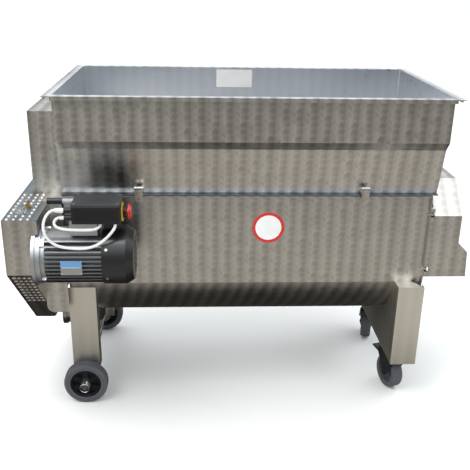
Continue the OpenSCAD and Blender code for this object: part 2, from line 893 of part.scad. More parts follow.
module shaft_bearings() {
    color(dark_steel) place() {
        bearing(-body_half - 13.5, 12, 40, quill_r, 0, axis_z);
        bearing(-body_half - 12.5, 12, 29, screw_shaft_r, 0, screw_z);
        bearing(body_half - sheet - 12.5, 12, 29, screw_shaft_r, 0, screw_z);
        for (s = [-1, 1]) {
            bearing(trough_left + 1.2, 12, 22, roller_shaft_r, s * roller_y, roller_z);
            bearing(bulkhead_x + bulkhead_t + seat, 10, 22, roller_shaft_r, s * roller_y, roller_z);
        }
    }
}

// ---- Motor ----

fin_pitch = 11;
fin_t = 3;
core_r = motor_r - 12;
body_x = motor_face + shield_l;
body_l = fan_x - body_x;

module motor_body() {
    color([0.45, 0.46, 0.48]) place() difference() {
        along_x(body_x + seat, body_l - 2 * seat) translate([motor_y, motor_z]) {
            circle(core_r);
            intersection() {
                circle(motor_r);
                for (i = [-5 : 5])
                    translate([-motor_r, i * fin_pitch - fin_t / 2]) square([2 * motor_r, fin_t]);
            }
        }
        rod_x(body_x - 1, body_l + 2, motor_shaft_r + fit, motor_y, motor_z);
    }
}

module motor_end_shield() {
    color([0.75, 0.76, 0.78]) place() difference() {
        union() {
            rod_x(motor_face, 8, motor_r + 3, motor_y, motor_z);
            rod_x(motor_face, 20, motor_r - 2, motor_y, motor_z);
            rod_x(motor_face, shield_l, motor_r - 9, motor_y, motor_z);
            for (a = [45 : 90 : 315])
                translate([motor_face, motor_y, motor_z]) rotate([a, 0, 0])
                    translate([0, motor_r - 16, -9]) cube([shield_l, 14, 18]);
        }
        rod_x(motor_face - 1, shield_l + 2, motor_shaft_r + fit, motor_y, motor_z);
    }
}

module motor_fan_cover() {
    color(black) place() translate([fan_x, motor_y, motor_z]) rotate([90, 0, 90]) difference() {
        rotate_extrude() polygon([
            [motor_r, 0], [motor_r, fan_l - 18], [motor_r - 12, fan_l], [0, fan_l], [0, fan_l - sheet],
            [motor_r - 13, fan_l - sheet], [motor_r - sheet, fan_l - 18], [motor_r - sheet, 0]
        ]);
        for (i = [-3 : 3])
            translate([-42 + abs(i) * 4, i * 13 - 2.5, fan_l - 5]) cube([84 - abs(i) * 8, 5, 10]);
    }
}

module motor_rotor() {
    color(zinc) place() {
        rod_x(casing_left + 12, motor_end - 14 - casing_left - 12, motor_shaft_r, motor_y, motor_z);
        translate([motor_end - 40, motor_y, motor_z]) rotate([90, 0, 90]) difference() {
            union() {
                cylinder(h = 3, r = core_r - 4);
                for (i = [0 : 5])
                    rotate(60 * i) translate([13, -1, 1]) cube([core_r - 22, 2, 13]);
                cylinder(h = 16, r = 16);
            }
            translate([0, 0, -1]) cylinder(h = 20, r = motor_shaft_r + 0.02);
        }
    }
}

module pulley(x, r, bore, y, z) {
    difference() {
        union() {
            rod_x(x - 9, 18, r, y, z);
            rod_x(x - 10, 3, r + 6, y, z);
            rod_x(x + 7, 3, r + 6, y, z);
        }
        rod_x(x - 12, 24, bore + 0.02, y, z);
    }
}

module motor_pulley() {
    color(dark_steel) place() pulley(belt_x, motor_pulley_r, motor_shaft_r, motor_y, motor_z);
}

module terminal_pedestal() {
    color([0.7, 0.71, 0.72]) place()
        translate([box_left - 12, motor_y - 34, motor_z + core_r + seat])
            cube([68, 68, box_z - motor_z - core_r - 2 * seat]);
}

module switch_box() {
    color(black) place() difference() {
        union() {
            box_at([box_left, box_y0, box_z], [box_left + box_l, box_y0 + box_d, box_z + box_h]);
            for (i = [0 : 7])
                translate([box_left + 6, box_y0 - 1, box_z + 5 + 4.2 * i]) cube([box_l - 12, 2, 1.8]);
        }
        box_at([box_left + 3, box_y0 + 3, box_z + 3], [box_left + box_l - 3, box_y0 + box_d - 3, box_z + box_h + 1]);
        rod_x(box_left + box_l - 5, 10, 8, stop_y, stop_z);
    }
}

module switch_lid() {
    color([0.3, 0.31, 0.33]) place()
        translate([box_left - 1, box_y0 - 1, box_z + box_h + seat]) linear_extrude(lid_t)
            rounded_rect(box_l + 2, box_d + 2, 5);
}

module small_screws() {
    color(zinc) place() {
        for (x = [box_left + 7, box_left + box_l - 7])
            for (y = [box_y0 + 7, box_y0 + box_d - 7])
                translate([x, y, box_z + box_h + lid_t + seat + 0.1]) cylinder(h = 2, r = 3.5);
        for (a = [-150, -210, 30, -30])
            translate([fan_x + 12, motor_y + (motor_r + 0.1) * cos(a), motor_z + (motor_r + 0.1) * sin(a)])
                rotate([a, 0, 0]) rotate([-90, 0, 0]) cylinder(h = 3, r = 3.5);
    }
}

gland_y = box_y0 + 16;
gland_zs = [box_z + 30, box_z + 11];

module cable_glands() {
    color([0.15, 0.15, 0.16]) place()
        for (z = gland_zs)
            rod_x(box_left - 20, 20 - 0.1, 7, gland_y, z);
    color("white") place() {
        rod_x(box_left - 38, 17.8, 6, gland_y, gland_zs[0]);
        rod_x(box_left - 28, 7.8, 5, gland_y, gland_zs[1]);
    }
}

module power_inlet() {
    color(zinc) place() rod_x(box_left - 34, 33.8, 6.5, motor_y + 20, box_z + 32);
    color(black) place() rod_x(box_left - 72, 37.8, 8, motor_y + 20, box_z + 32);
}

module stop_collar() {
    x = box_left + box_l + 0.2;
    color("gold") place() difference() {
        rod_x(x, 2.5, 24, stop_y, stop_z);
        rod_x(x - 1, 5, 6 + 1, stop_y, stop_z);
    }
    color(black) place() difference() {
        rod_x(x + 2.6, 7, 15, stop_y, stop_z);
        rod_x(x, 12, 6 + fit, stop_y, stop_z);
    }
}

module stop_button() {
    x = box_left + box_l + 0.2 + 9.6 + stop_travel + 0.5;
    color("red") place() {
        rod_x(x, 4, 19, stop_y, stop_z);
        rod_x(x + 3.9, 3.5, 16, stop_y, stop_z);
        rod_x(x - 20, 21, 6, stop_y, stop_z);
    }
}

// ---- Leads: round tubes along points chosen by hand ----

loop_route = [
    [-485, -366, 643], [-491, -366, 643], [-497, -367.5, 641.5], [-502.5, -371, 638], [-507, -375.5, 633],
    [-510.5, -380, 626.5], [-513, -384, 619], [-514, -387.5, 610.5], [-513.5, -389.5, 601.5],
    [-511.5, -390.5, 592.5], [-507.5, -391, 583.5], [-502, -391, 575.5], [-495, -391, 568.5],
    [-486.5, -391, 563], [-477, -391, 559], [-466, -391, 556.5], [-454, -391, 555], [-441, -391, 554],
    [-428, -391, 553.5], [-415, -391, 554.5], [-402, -391, 557.5], [-390, -390.5, 562],
    [-379, -389.5, 568.5], [-369.5, -388, 576], [-361, -386, 583.5], [-354, -383.5, 591],
    [-348.5, -381, 598], [-345.2, -378.8, 603.5], [-343.8, -377.8, 608.2], [-343.5, -377.6, 612.6]
];
short_route = [
    [-475, -366, 624], [-480.5, -366, 624], [-485.5, -367.4, 622], [-489.3, -370, 618.5],
    [-490.8, -373, 614.4], [-489.8, -376, 610.3], [-486.5, -378.8, 606.8], [-481.5, -381, 604.3],
    [-475.5, -382.6, 602.7], [-468, -383.8, 601.5], [-458, -384.5, 600.5], [-446, -385, 599.8],
    [-434, -385, 599.5], [-422, -384.8, 599.3], [-411, -384.2, 599.2], [-401, -383, 599.3],
    [-393, -381.2, 600], [-386.8, -379, 601.8], [-382.5, -377, 604.8], [-379.9, -375.6, 608.6],
    [-379.6, -375.4, 612.4]
];
lead_r = 3.5;
lead_sides = 10;

function unit(v) = v / norm(v);
function tangent(p, i) = unit(p[min(i + 1, len(p) - 1)] - p[max(i - 1, 0)]);
function lead_ring(p, i) =
    let (t = tangent(p, i), u = unit(cross(t, [0, 0.6, 0.8])), w = cross(t, u))
    [for (k = [0 : lead_sides - 1])
        p[i] + lead_r * (cos(360 * k / lead_sides) * u + sin(360 * k / lead_sides) * w)];
function lead_points(p) = [for (i = [0 : len(p) - 1]) each lead_ring(p, i)];
function lead_faces(n) = concat(
    [[for (k = [0 : lead_sides - 1]) k]],
    [for (i = [0 : n - 2])
        for (k = [0 : lead_sides - 1])
            let (j = (k + 1) % lead_sides)
            [i * lead_sides + k, (i + 1) * lead_sides + k, (i + 1) * lead_sides + j, i * lead_sides + j]],
    [[for (k = [lead_sides - 1 : -1 : 0]) (n - 1) * lead_sides + k]]
);

module lead(route) {
    polyhedron(points = lead_points(route), faces = lead_faces(len(route)), convexity = 4);
}

module cable_loop() {
    color("white") place() lead(loop_route);
}

module cable_short() {
    color("white") place() lead(short_route);
}

// ---- Belt and chains ----

module belt_outline(grow) {
    hull() {
        translate([motor_y, motor_z]) circle(motor_pulley_r + grow, $fn = hull_fn);
        translate([0, axis_z]) circle(beater_pulley_r + grow, $fn = 2 * hull_fn);
    }
}

module drive_belt() {
    color(black) place() along_x(belt_x - 5.5, 11) difference() {
        belt_outline(6.6);
        belt_outline(0.6);
    }
}

module chain_loop(points, radii, grow) {
    hull() for (i = [0 : len(points) - 1])
        translate(points[i]) circle(radii[i] + grow, $fn = hull_fn);
}

fast_points = [[0, axis_z], [0, screw_z]];
fast_radii = [sprocket_r(fast_teeth), sprocket_r(screw_teeth)];
slow_points = [[0, axis_z], [-roller_y, roller_z], [0, screw_z]];
slow_radii = [sprocket_r(drum_teeth), sprocket_r(roller_teeth), sprocket_r(slow_teeth)];

module chain(x, points, radii) {
    for (side = [-4.6, 3.2])
        along_x(x + side, 1.4) difference() {
            chain_loop(points, radii, 4);
            chain_loop(points, radii, -4);
        }
}

module drive_chains() {
    color(dark_steel) place() {
        chain(fast_chain_x, fast_points, fast_radii);
        chain(slow_chain_x, slow_points, slow_radii);
    }
}

// ---- Turning parts ----

paddle_count = 18;
paddle_r = 5;
paddle_turn = 60;

module beater_shaft() {
    color(zinc) place() {
        x0 = casing_left + 12;
        rod_x(x0, trough_right + 11 - x0, beater_shaft_r, 0, axis_z);
        for (i = [0 : paddle_count - 1])
            translate([drum_left + 34 + i * (drum_right - drum_left - 70) / (paddle_count - 1), 0, axis_z])
                rotate([paddle_turn * i, 0, 0]) {
                    translate([0, 0, beater_shaft_r - 1]) cylinder(h = beater_reach - beater_shaft_r - 3, r = paddle_r);
                    translate([-14, -3, beater_reach - 8]) cube([28, 6, 8]);
                }
    }
}

module beater_drive_wheels() {
    color(dark_steel) place() {
        difference() {
            pulley(belt_x, beater_pulley_r, beater_shaft_r, 0, axis_z);
            for (i = [0 : 4])
                rod_x(belt_x - 12, 24, 18, 58 * cos(72 * i), axis_z + 58 * sin(72 * i));
        }
        face_x(fast_chain_x - 2.5, 0, axis_z) sprocket(fast_teeth, 5, beater_shaft_r + 0.02);
    }
}

drum_rows = 12;
drum_columns = floor((drum_right - drum_left - 60) / (drum_hole_r * 4.2));

module drum() {
    color(steel) place() {
        difference() {
            rod_x(drum_left, drum_right - drum_left, drum_r, 0, axis_z, $fn = large_fn);
            rod_x(drum_left - 1, drum_right - drum_left + 2, drum_r - drum_wall, 0, axis_z, $fn = large_fn);
            for (c = [0 : drum_columns - 1])
                for (k = [0 : drum_rows - 1])
                    translate([drum_left + 40 + c * (drum_right - drum_left - 80) / (drum_columns - 1), 0, axis_z])
                        rotate([360 / drum_rows * (k + (c % 2) / 2), 0, 0])
                            translate([0, 0, drum_r - 8]) cylinder(h = 16, r = drum_hole_r, $fn = 32);
        }
        difference() {
            union() {
                for (a = [0, 90])
                    translate([drum_left, 0, axis_z]) rotate([a, 0, 0])
                        translate([0, -drum_r + 1, -12]) cube([6, 2 * drum_r - 2, 24]);
                rod_x(drum_left, 6, 45, 0, axis_z);
            }
            rod_x(drum_left - 1, 10, quill_r + 0.02, 0, axis_z);
        }
    }
}

quill_left = slow_chain_x - 8;

module drum_quill() {
    color(zinc) place() {
        difference() {
            union() {
                rod_x(quill_left, drum_left + 8 - quill_left, quill_r, 0, axis_z);
                rod_x(trough_left + 1.4, 8, quill_r + 8, 0, axis_z);
            }
            rod_x(quill_left - 1, drum_left + 12 - quill_left, beater_shaft_r + fit, 0, axis_z);
        }
        face_x(slow_chain_x - 2.5, 0, axis_z) sprocket(drum_teeth, 5, quill_r + 0.02);
    }
}

// One start of a screw flight on X
module flight(x, l, r0, r1, pitch, t, z) {
    translate([x, 0, z]) rotate([90, 0, 90])
        linear_extrude(l, twist = -360 * l / pitch, slices = ceil(24 * l / pitch), segments = 4)
            translate([r0, -t / 2]) square([r1 - r0, t]);
}

module feed_screw() {
    color(zinc) place() {
        x0 = cover_left + sheet + 4;
        rod_x(x0, body_half - sheet - 1 - x0, screw_shaft_r, 0, screw_z);
        flight(bulkhead_x - 30, body_half - 22 - bulkhead_x + 30, screw_shaft_r + 0.4, screw_r, screw_pitch, 4, screw_z);
    }
}

module screw_sprockets() {
    color(dark_steel) place() {
        face_x(fast_chain_x - 2.5, 0, screw_z) sprocket(screw_teeth, 5, screw_shaft_r + 0.02);
        face_x(slow_chain_x - 2.5, 0, screw_z) sprocket(slow_teeth, 5, screw_shaft_r + 0.02);
    }
}

module lobed_outline(r) {
    circle(r - 12);
    for (i = [0 : lobes - 1])
        rotate(360 / lobes * i) {
            translate([0, -4]) square([r - 4, 8]);
            translate([r - 4, 0]) circle(4);
        }
}

module roller(side, gear_turn, shaft_left) {
    color([0.2, 0.2, 0.2]) place()
        along_x(trough_left + 16, bulkhead_x - trough_left - 20) translate([side * roller_y, roller_z])
            difference() {
                lobed_outline(roller_r);
                circle(roller_shaft_r + 0.02);
            }
    color(zinc) place() {
        rod_x(shaft_left, bulkhead_x + 12 - shaft_left, roller_shaft_r, side * roller_y, roller_z);
        face_x(gear_x - 5, side * roller_y, roller_z) rotate(gear_turn)
            gear(gear_teeth, gear_module, 10, roller_shaft_r + 0.02);
    }
}

module roller_front() {
    roller(-1, 0, slow_chain_x - 6);
    color(dark_steel) place()
        face_x(slow_chain_x - 2.5, -roller_y, roller_z) sprocket(roller_teeth, 5, roller_shaft_r + 0.02);
}

module roller_rear() {
    roller(1, 180 / gear_teeth, gear_x - 7);
}

hopper_shell();
hopper_floor();
joint_gasket();
trough_shell();
trough_panels();
trough_end_left();
trough_end_right();
flange_bolts();
clasp_brackets();
stem_chute();
drive_frame();
drive_casing();
screw_cover();
casing_studs();
left_legs();
wheel_axle();
linch_pins();
right_stand();
caster_plates();
must_outlet();
shaft_bearings();
motor_body();
motor_end_shield();
motor_fan_cover();
terminal_pedestal();
switch_box();
switch_lid();
small_screws();
cable_glands();
power_inlet();
stop_collar();
cable_loop();
cable_short();
drive_belt();
drive_chains();
beater_shaft();
beater_drive_wheels();
drum();
drum_quill();
feed_screw();
screw_sprockets();
roller_front();
roller_rear();
motor_rotor();
motor_pulley();
tyre_front();
hub_front();
tyre_rear();
hub_rear();
caster_fork_front();
caster_wheel_front();
brake_pedal_front();
caster_fork_rear();
caster_wheel_rear();
brake_pedal_rear();
stop_button();
clasp_left();
clasp_right();
tension_knob();
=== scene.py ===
"""Finishes and detail pieces for a grape crusher destemmer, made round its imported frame."""

import math

import bmesh
import bpy
from mathutils import Matrix, Vector


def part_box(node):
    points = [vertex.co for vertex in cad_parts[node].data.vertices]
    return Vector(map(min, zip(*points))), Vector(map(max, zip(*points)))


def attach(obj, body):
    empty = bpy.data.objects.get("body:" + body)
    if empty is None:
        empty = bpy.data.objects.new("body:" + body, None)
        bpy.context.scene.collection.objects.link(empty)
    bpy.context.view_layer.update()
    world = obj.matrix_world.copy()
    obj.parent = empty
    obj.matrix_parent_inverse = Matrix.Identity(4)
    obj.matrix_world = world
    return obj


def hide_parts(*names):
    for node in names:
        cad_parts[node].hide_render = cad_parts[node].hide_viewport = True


bl_info = {
    "name": "Grape Crusher Destemmer",
    "version": (1, 0, 0),
    "blender": (4, 5, 0),
    "location": "3D View > Sidebar > Crusher",
    "description": "Finishes, leads, louvres, wheels and small fittings of a grape crusher destemmer",
    "category": "Object",
}

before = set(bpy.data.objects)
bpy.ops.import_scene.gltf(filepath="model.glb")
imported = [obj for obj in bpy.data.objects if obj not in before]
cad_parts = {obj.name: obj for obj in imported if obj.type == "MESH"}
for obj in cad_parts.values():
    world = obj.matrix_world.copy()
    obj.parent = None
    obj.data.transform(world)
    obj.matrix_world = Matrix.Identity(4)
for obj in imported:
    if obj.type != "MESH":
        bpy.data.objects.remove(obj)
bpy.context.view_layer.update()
MM = 0.001

HOPPER_LOW, HOPPER_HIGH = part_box("hopper_shell")
TROUGH_LOW, TROUGH_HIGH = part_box("trough_shell")
CASING_LOW, CASING_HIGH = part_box("drive_casing")
SCREW_LOW, SCREW_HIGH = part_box("feed_screw")
PANELS_LOW, PANELS_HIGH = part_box("trough_panels")
BOX_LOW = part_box("switch_box")[0]
MOTOR_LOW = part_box("motor_body")[0]

PANEL_DEPTH = 2.2 * MM  # a side panel with its gap to the trough
TROUGH_R = (PANELS_HIGH.y - PANELS_LOW.y) / 2 - PANEL_DEPTH
AXIS = Vector((0.0, (TROUGH_LOW.y + TROUGH_HIGH.y) / 2, TROUGH_LOW.z + TROUGH_R))
CENTRE = Vector(((HOPPER_LOW.x + HOPPER_HIGH.x) / 2, (HOPPER_LOW.y + HOPPER_HIGH.y) / 2, HOPPER_HIGH.z))

# The hopper's inner walls: depths of their bend below the rim, and half widths front to back
BEND_TOP, BEND_FOOT = 115 * MM, 138 * MM
INNER_AT_FOOT, INNER_AT_BEND, BEND_OUT = 204 * MM, 234 * MM, 20 * MM
END_INSET = 21 * MM

X, Y, Z = range(3)
HAIR = 0.5 * MM  # how far under a face its colour starts


# ---- Settings that a user would change ----


def colour_setting(name, description, default):
    return bpy.props.FloatVectorProperty(
        name=name, description=description, default=default, size=3, subtype="COLOR", min=0.0, max=1.0
    )


def length_setting(name, description, default):
    return bpy.props.FloatProperty(
        name=name, description=description, default=default, min=0.0001, unit="LENGTH", subtype="DISTANCE"
    )


class CrusherColours(bpy.types.PropertyGroup):
    """Colours of the machine's finishes."""

    sheet: colour_setting("Sheet", "Ground stainless sheet of hopper, trough and covers", (0.62, 0.6, 0.565))
    leg: colour_setting("Legs", "Plain stainless sheet of the legs", (0.93, 0.9, 0.81))
    inner: colour_setting("Inner steel", "Turned and pressed steel inside the machine", (0.5, 0.5, 0.49))
    bright: colour_setting("Bright metal", "Zinc-plated screws, pins and shafts", (0.72, 0.73, 0.75))
    iron: colour_setting("Iron", "Machined iron wheels and bearings", (0.2, 0.2, 0.21))
    housing: colour_setting("Motor housing", "Cast fins of the motor", (0.3, 0.305, 0.315))
    shield: colour_setting("End shield", "Bare die-cast end shield", (0.6, 0.62, 0.65))
    plastic: colour_setting("Box", "Black moulded parts", (0.009, 0.0095, 0.01))
    lid: colour_setting("Lid", "Grey moulded lid of the switch box", (0.03, 0.033, 0.036))
    lead: colour_setting("Leads", "White sheath of the leads", (0.72, 0.72, 0.7))
    # the inner face's smoother grind is real; its bluish tint is a painted reflection of the sky
    lining_and_sky_tint: colour_setting("Hopper lining", "Smooth inner face of the hopper", (0.6, 0.62, 0.655))
    red: colour_setting("Red", "Stop button and sign ring", (0.55, 0.02, 0.015))
    yellow: colour_setting("Yellow", "Collar of the stop button", (0.72, 0.47, 0.03))
    brass: colour_setting("Brass", "Turned brass stud", (0.62, 0.42, 0.17))
    tyre: colour_setting("Tyres", "Solid rubber tyres", (0.016, 0.016, 0.0155))
    coating: colour_setting("Coating", "Black coated caster forks", (0.02, 0.02, 0.022))


class CrusherSizes(bpy.types.PropertyGroup):
    """Sizes of the pieces that are added to the frame."""

    swirl_pitch: length_setting("Swirl pitch", "Distance between columns of ground swirls", 35 * MM)
    lead_diameter: length_setting("Lead diameter", "Outside diameter of a lead", 7 * MM)
    sign_diameter: length_setting("Sign diameter", "Outside diameter of the round sign", 88 * MM)
    louvre_length: length_setting("Louvre length", "Length of a pressed louvre", 14 * MM)
    louvre_height: length_setting("Louvre height", "Height of a pressed louvre", 3 * MM)
    bead_radius: length_setting("Weld bead", "Radius of a weld bead", 2.2 * MM)
    flight_thickness: length_setting("Flight thickness", "Sheet thickness of the screw's flight", 4 * MM)


def colours():
    return bpy.context.scene.crusher_colours


def sizes():
    return bpy.context.scene.crusher_sizes


# ---- Node helpers ----


class Graph:
    """Adds nodes to one tree, so that an effect reads as a formula."""

    def __init__(self, tree):
        self.tree = tree

    def add(self, kind, inputs=None, **settings):
        node = self.tree.nodes.new(kind)
        for key, value in settings.items():
            setattr(node, key, value)
        for key, value in (inputs or {}).items():
            self.feed(value, node.inputs[key])
        return node

    def feed(self, value, socket):
        if isinstance(value, bpy.types.NodeSocket):
            self.tree.links.new(value, socket)
        else:
            socket.default_value = value

    def math(self, operation, *values):
        node = self.add("ShaderNodeMath", operation=operation)
        for socket, value in zip(node.inputs, values):
            self.feed(value, socket)
        return node.outputs[0]

    def blend(self, factor, low, high):
        node = self.add("ShaderNodeMix", data_type="FLOAT")
        for index, value in ((0, factor), (2, low), (3, high)):
            self.feed(value, node.inputs[index])
        return node.outputs[0]

    def about(self, value, amount, middle=0.5):
        """amount times how far value is from the middle."""
        return self.math("MULTIPLY", self.math("SUBTRACT", value, middle), amount)

    def ramp(self, value, low, high, to_low=0.0, to_high=1.0):
        node = self.add("ShaderNodeMapRange", interpolation_type="SMOOTHSTEP")
        for index, item in enumerate((value, low, high, to_low, to_high)):
            self.feed(item, node.inputs[index])
        return node.outputs[0]


def new_group(name, inputs, outputs):
    """An empty shader group with float sockets: inputs is {name: default}, outputs is a list of names."""
    tree = bpy.data.node_groups.new(name, "ShaderNodeTree")
    for label, default in inputs.items():
        socket = tree.interface.new_socket(label, in_out="INPUT", socket_type="NodeSocketFloat")
        socket.default_value = default
    for label in outputs:
        tree.interface.new_socket(label, in_out="OUTPUT", socket_type="NodeSocketFloat")
    graph = Graph(tree)
    return graph, graph.add("NodeGroupInput").outputs, graph.add("NodeGroupOutput").inputs


def swirl_group():
    """Overlapping circular grinding marks in upright columns, each disc with a painted sheen of bright and dark
    sectors.
    """
    name = "Ground Swirls"
    if name in bpy.data.node_groups:
        return bpy.data.node_groups[name]
    inputs = {"Across": 0.0, "Along": 0.0, "Pitch": 0.03, "Row": 0.5, "Rings": 16.0}
    g, given, out = new_group(name, inputs, ["Tone", "Scratch", "Band"])
    s = g.math("DIVIDE", given["Across"], given["Pitch"])
    t = g.math("DIVIDE", given["Along"], given["Pitch"])
    column = g.math("FLOOR", s)
    ds = g.math("SUBTRACT", g.math("FRACT", s), 0.5)
    k = g.math("FLOOR", g.math("DIVIDE", t, given["Row"]))
    near = g.math("SUBTRACT", t, g.math("MULTIPLY", k, given["Row"]))
    far = g.math("SUBTRACT", near, given["Row"])
    disc = 0.52
    reach = g.math("SQRT", g.math("ADD", g.math("MULTIPLY", ds, ds), g.math("MULTIPLY", near, near)))
    outside = g.math("GREATER_THAN", reach, disc)
    dt = g.blend(outside, near, far)
    radius = g.math("SQRT", g.math("ADD", g.math("MULTIPLY", ds, ds), g.math("MULTIPLY", dt, dt)))
    turn = g.math("ARCTAN2", dt, ds)
    mark = g.math("ADD", k, outside)
    cell = g.add("ShaderNodeCombineXYZ", {0: column, 1: mark})
    chance = g.add("ShaderNodeTexWhiteNoise", {"Vector": cell.outputs[0]}, noise_dimensions="2D").outputs["Value"]
    column_chance = g.add("ShaderNodeTexWhiteNoise", {"W": column}, noise_dimensions="1D").outputs["Value"]
    # painted sheen: bright and dark sectors round each disc's centre, as a circular grind catches the light
    fan = g.math("SINE", g.math("ADD", g.math("MULTIPLY", turn, 2.0), g.math("MULTIPLY", chance, 1.2)))
    edge = g.ramp(radius, 0.3, disc)
    tone = g.math("ADD", g.math("MULTIPLY", fan, 0.3), g.about(chance, 0.25))
    tone = g.math("ADD", tone, g.math("MULTIPLY", edge, 0.25))
    g.feed(g.math("ADD", tone, 0.45), out["Tone"])
    rings = g.math("SINE", g.math("MULTIPLY", g.math("MULTIPLY", radius, given["Rings"]), 2 * math.pi))
    g.feed(rings, out["Scratch"])
    band = g.math("ADD", g.math("ABSOLUTE", g.math("MULTIPLY", ds, 2.0)), g.about(column_chance, 0.5))
    g.feed(band, out["Band"])
    return bpy.data.node_groups[name]


def smudge_group():
    """Soft uneven patches of handling, dust and drying."""
    name = "Smudges"
    if name in bpy.data.node_groups:
        return bpy.data.node_groups[name]
    g, given, out = new_group(name, {"Scale": 4.0}, ["Patch"])
    place = g.add("ShaderNodeTexCoord").outputs["Object"]
    patch = g.add("ShaderNodeTexNoise", {"Vector": place, "Scale": given["Scale"], "Detail": 4.0, "Roughness": 0.6})
    g.feed(patch.outputs[0], out["Patch"])
    return bpy.data.node_groups[name]


def grain_group():
    """Fine grain, drawn out along one direction where the scales differ."""
    name = "Drawn Grain"
    if name in bpy.data.node_groups:
        return bpy.data.node_groups[name]
    g, given, out = new_group(name, {"Scale X": 400.0, "Scale Y": 400.0, "Scale Z": 400.0}, ["Grain"])
    place = g.add("ShaderNodeTexCoord").outputs["Object"]
    scale = g.add("ShaderNodeCombineXYZ", {0: given[0], 1: given[1], 2: given[2]})
    drawn = g.add("ShaderNodeVectorMath", {0: place, 1: scale.outputs[0]}, operation="MULTIPLY")
    noise = g.add("ShaderNodeTexNoise", {"Vector": drawn.outputs[0], "Scale": 1.0, "Detail": 3.0})
    g.feed(noise.outputs[0], out["Grain"])
    return bpy.data.node_groups[name]


def use_group(graph, tree, **values):
    node = graph.add("ShaderNodeGroup", node_tree=tree)
    for key, value in values.items():
        graph.feed(value, node.inputs[key.replace("_", " ")])
    return node.outputs


def start_material(name, colour, **constants):
    material = bpy.data.materials.new(name)
    material.use_nodes = True
    material.diffuse_color = (*colour, 1.0)
    shader = material.node_tree.nodes["Principled BSDF"]
    shader.inputs["Base Color"].default_value = (*colour, 1.0)
    for key, value in constants.items():
        shader.inputs[key.replace("_", " ")].default_value = value
    return material, Graph(material.node_tree), shader


def past(graph, axis, limit, sign=1.0):
    """One beyond a limit along an axis, or before it with the sign turned."""
    at = graph.add("ShaderNodeSeparateXYZ", {0: graph.add("ShaderNodeTexCoord").outputs["Object"]}).outputs
    return graph.math("GREATER_THAN", graph.math("MULTIPLY", at[axis], sign), sign * limit)


def layered(graph, colour, layers):
    """The colour, covered in turn by each layer's colour where its mask is one."""
    shade = colour
    for mask, other in layers:
        node = graph.add("ShaderNodeMix", data_type="VECTOR")
        for index, value in ((0, mask), (4, shade), (5, tuple(other))):
            graph.feed(value, node.inputs[index])
        shade = node.outputs[1]
    return shade


def painted(graph, colour, *splits):
    """The colour, with others past limits along an axis; a split is (axis, limit, sign, colour)."""
    return layered(graph, tuple(colour), [(past(graph, *split[:3]), split[3]) for split in splits])


def tint(graph, shader, colour, factor):
    """Base colour is the given colour times a factor that changes over the surface."""
    node = graph.add("ShaderNodeVectorMath", {0: colour}, operation="SCALE")
    graph.feed(factor, node.inputs["Scale"])
    graph.feed(node.outputs[0], shader.inputs["Base Color"])


def bump(graph, shader, height, distance, strength=1.0):
    node = graph.add("ShaderNodeBump", {"Height": height, "Distance": distance, "Strength": strength})
    graph.feed(node.outputs[0], shader.inputs["Normal"])


def flat_place(graph):
    """Two distances along a flat face, chosen by the way that it faces."""
    place = graph.add("ShaderNodeTexCoord")
    at = graph.add("ShaderNodeSeparateXYZ", {0: place.outputs["Object"]}).outputs
    facing = graph.add("ShaderNodeSeparateXYZ", {0: place.outputs["Normal"]}).outputs
    steep, level = 0.7, 0.75
    on_end = graph.math("GREATER_THAN", graph.math("ABSOLUTE", facing[X]), steep)
    on_top = graph.math("GREATER_THAN", graph.math("ABSOLUTE", facing[Z]), level)
    return graph.blend(on_end, at[X], at[Y]), graph.blend(on_top, at[Z], at[Y])


def round_place(graph):
    """Distance along the trough, and round its curved bottom."""
    at = graph.add("ShaderNodeSeparateXYZ", {0: graph.add("ShaderNodeTexCoord").outputs["Object"]}).outputs
    turn = graph.math("ARCTAN2", graph.math("SUBTRACT", at[Z], AXIS.z), graph.math("SUBTRACT", at[Y], AXIS.y))
    return at[X], graph.math("MULTIPLY", turn, TROUGH_R)


def within_hopper(graph):
    """One on the inner faces of the hopper's walls, nothing elsewhere."""
    at = graph.add("ShaderNodeSeparateXYZ", {0: graph.add("ShaderNodeTexCoord").outputs["Object"]}).outputs
    across = graph.math("ABSOLUTE", graph.math("SUBTRACT", at[X], CENTRE.x))
    deep = graph.math("ABSOLUTE", graph.math("SUBTRACT", at[Y], CENTRE.y))
    foot, top = HOPPER_HIGH.z - BEND_FOOT, HOPPER_HIGH.z - BEND_TOP
    slope = graph.add("ShaderNodeMapRange", {0: at[Z], 1: HOPPER_LOW.z, 2: foot, 3: INNER_AT_FOOT, 4: INNER_AT_BEND})
    bend = graph.add("ShaderNodeMapRange", {0: at[Z], 1: foot, 2: top, 3: 0.0, 4: BEND_OUT})
    limit = graph.math("ADD", slope.outputs[0], bend.outputs[0])
    half_length = (HOPPER_HIGH.x - HOPPER_LOW.x) / 2
    return graph.math("MULTIPLY", graph.math("LESS_THAN", deep, limit),
                      graph.math("LESS_THAN", across, half_length - END_INSET))


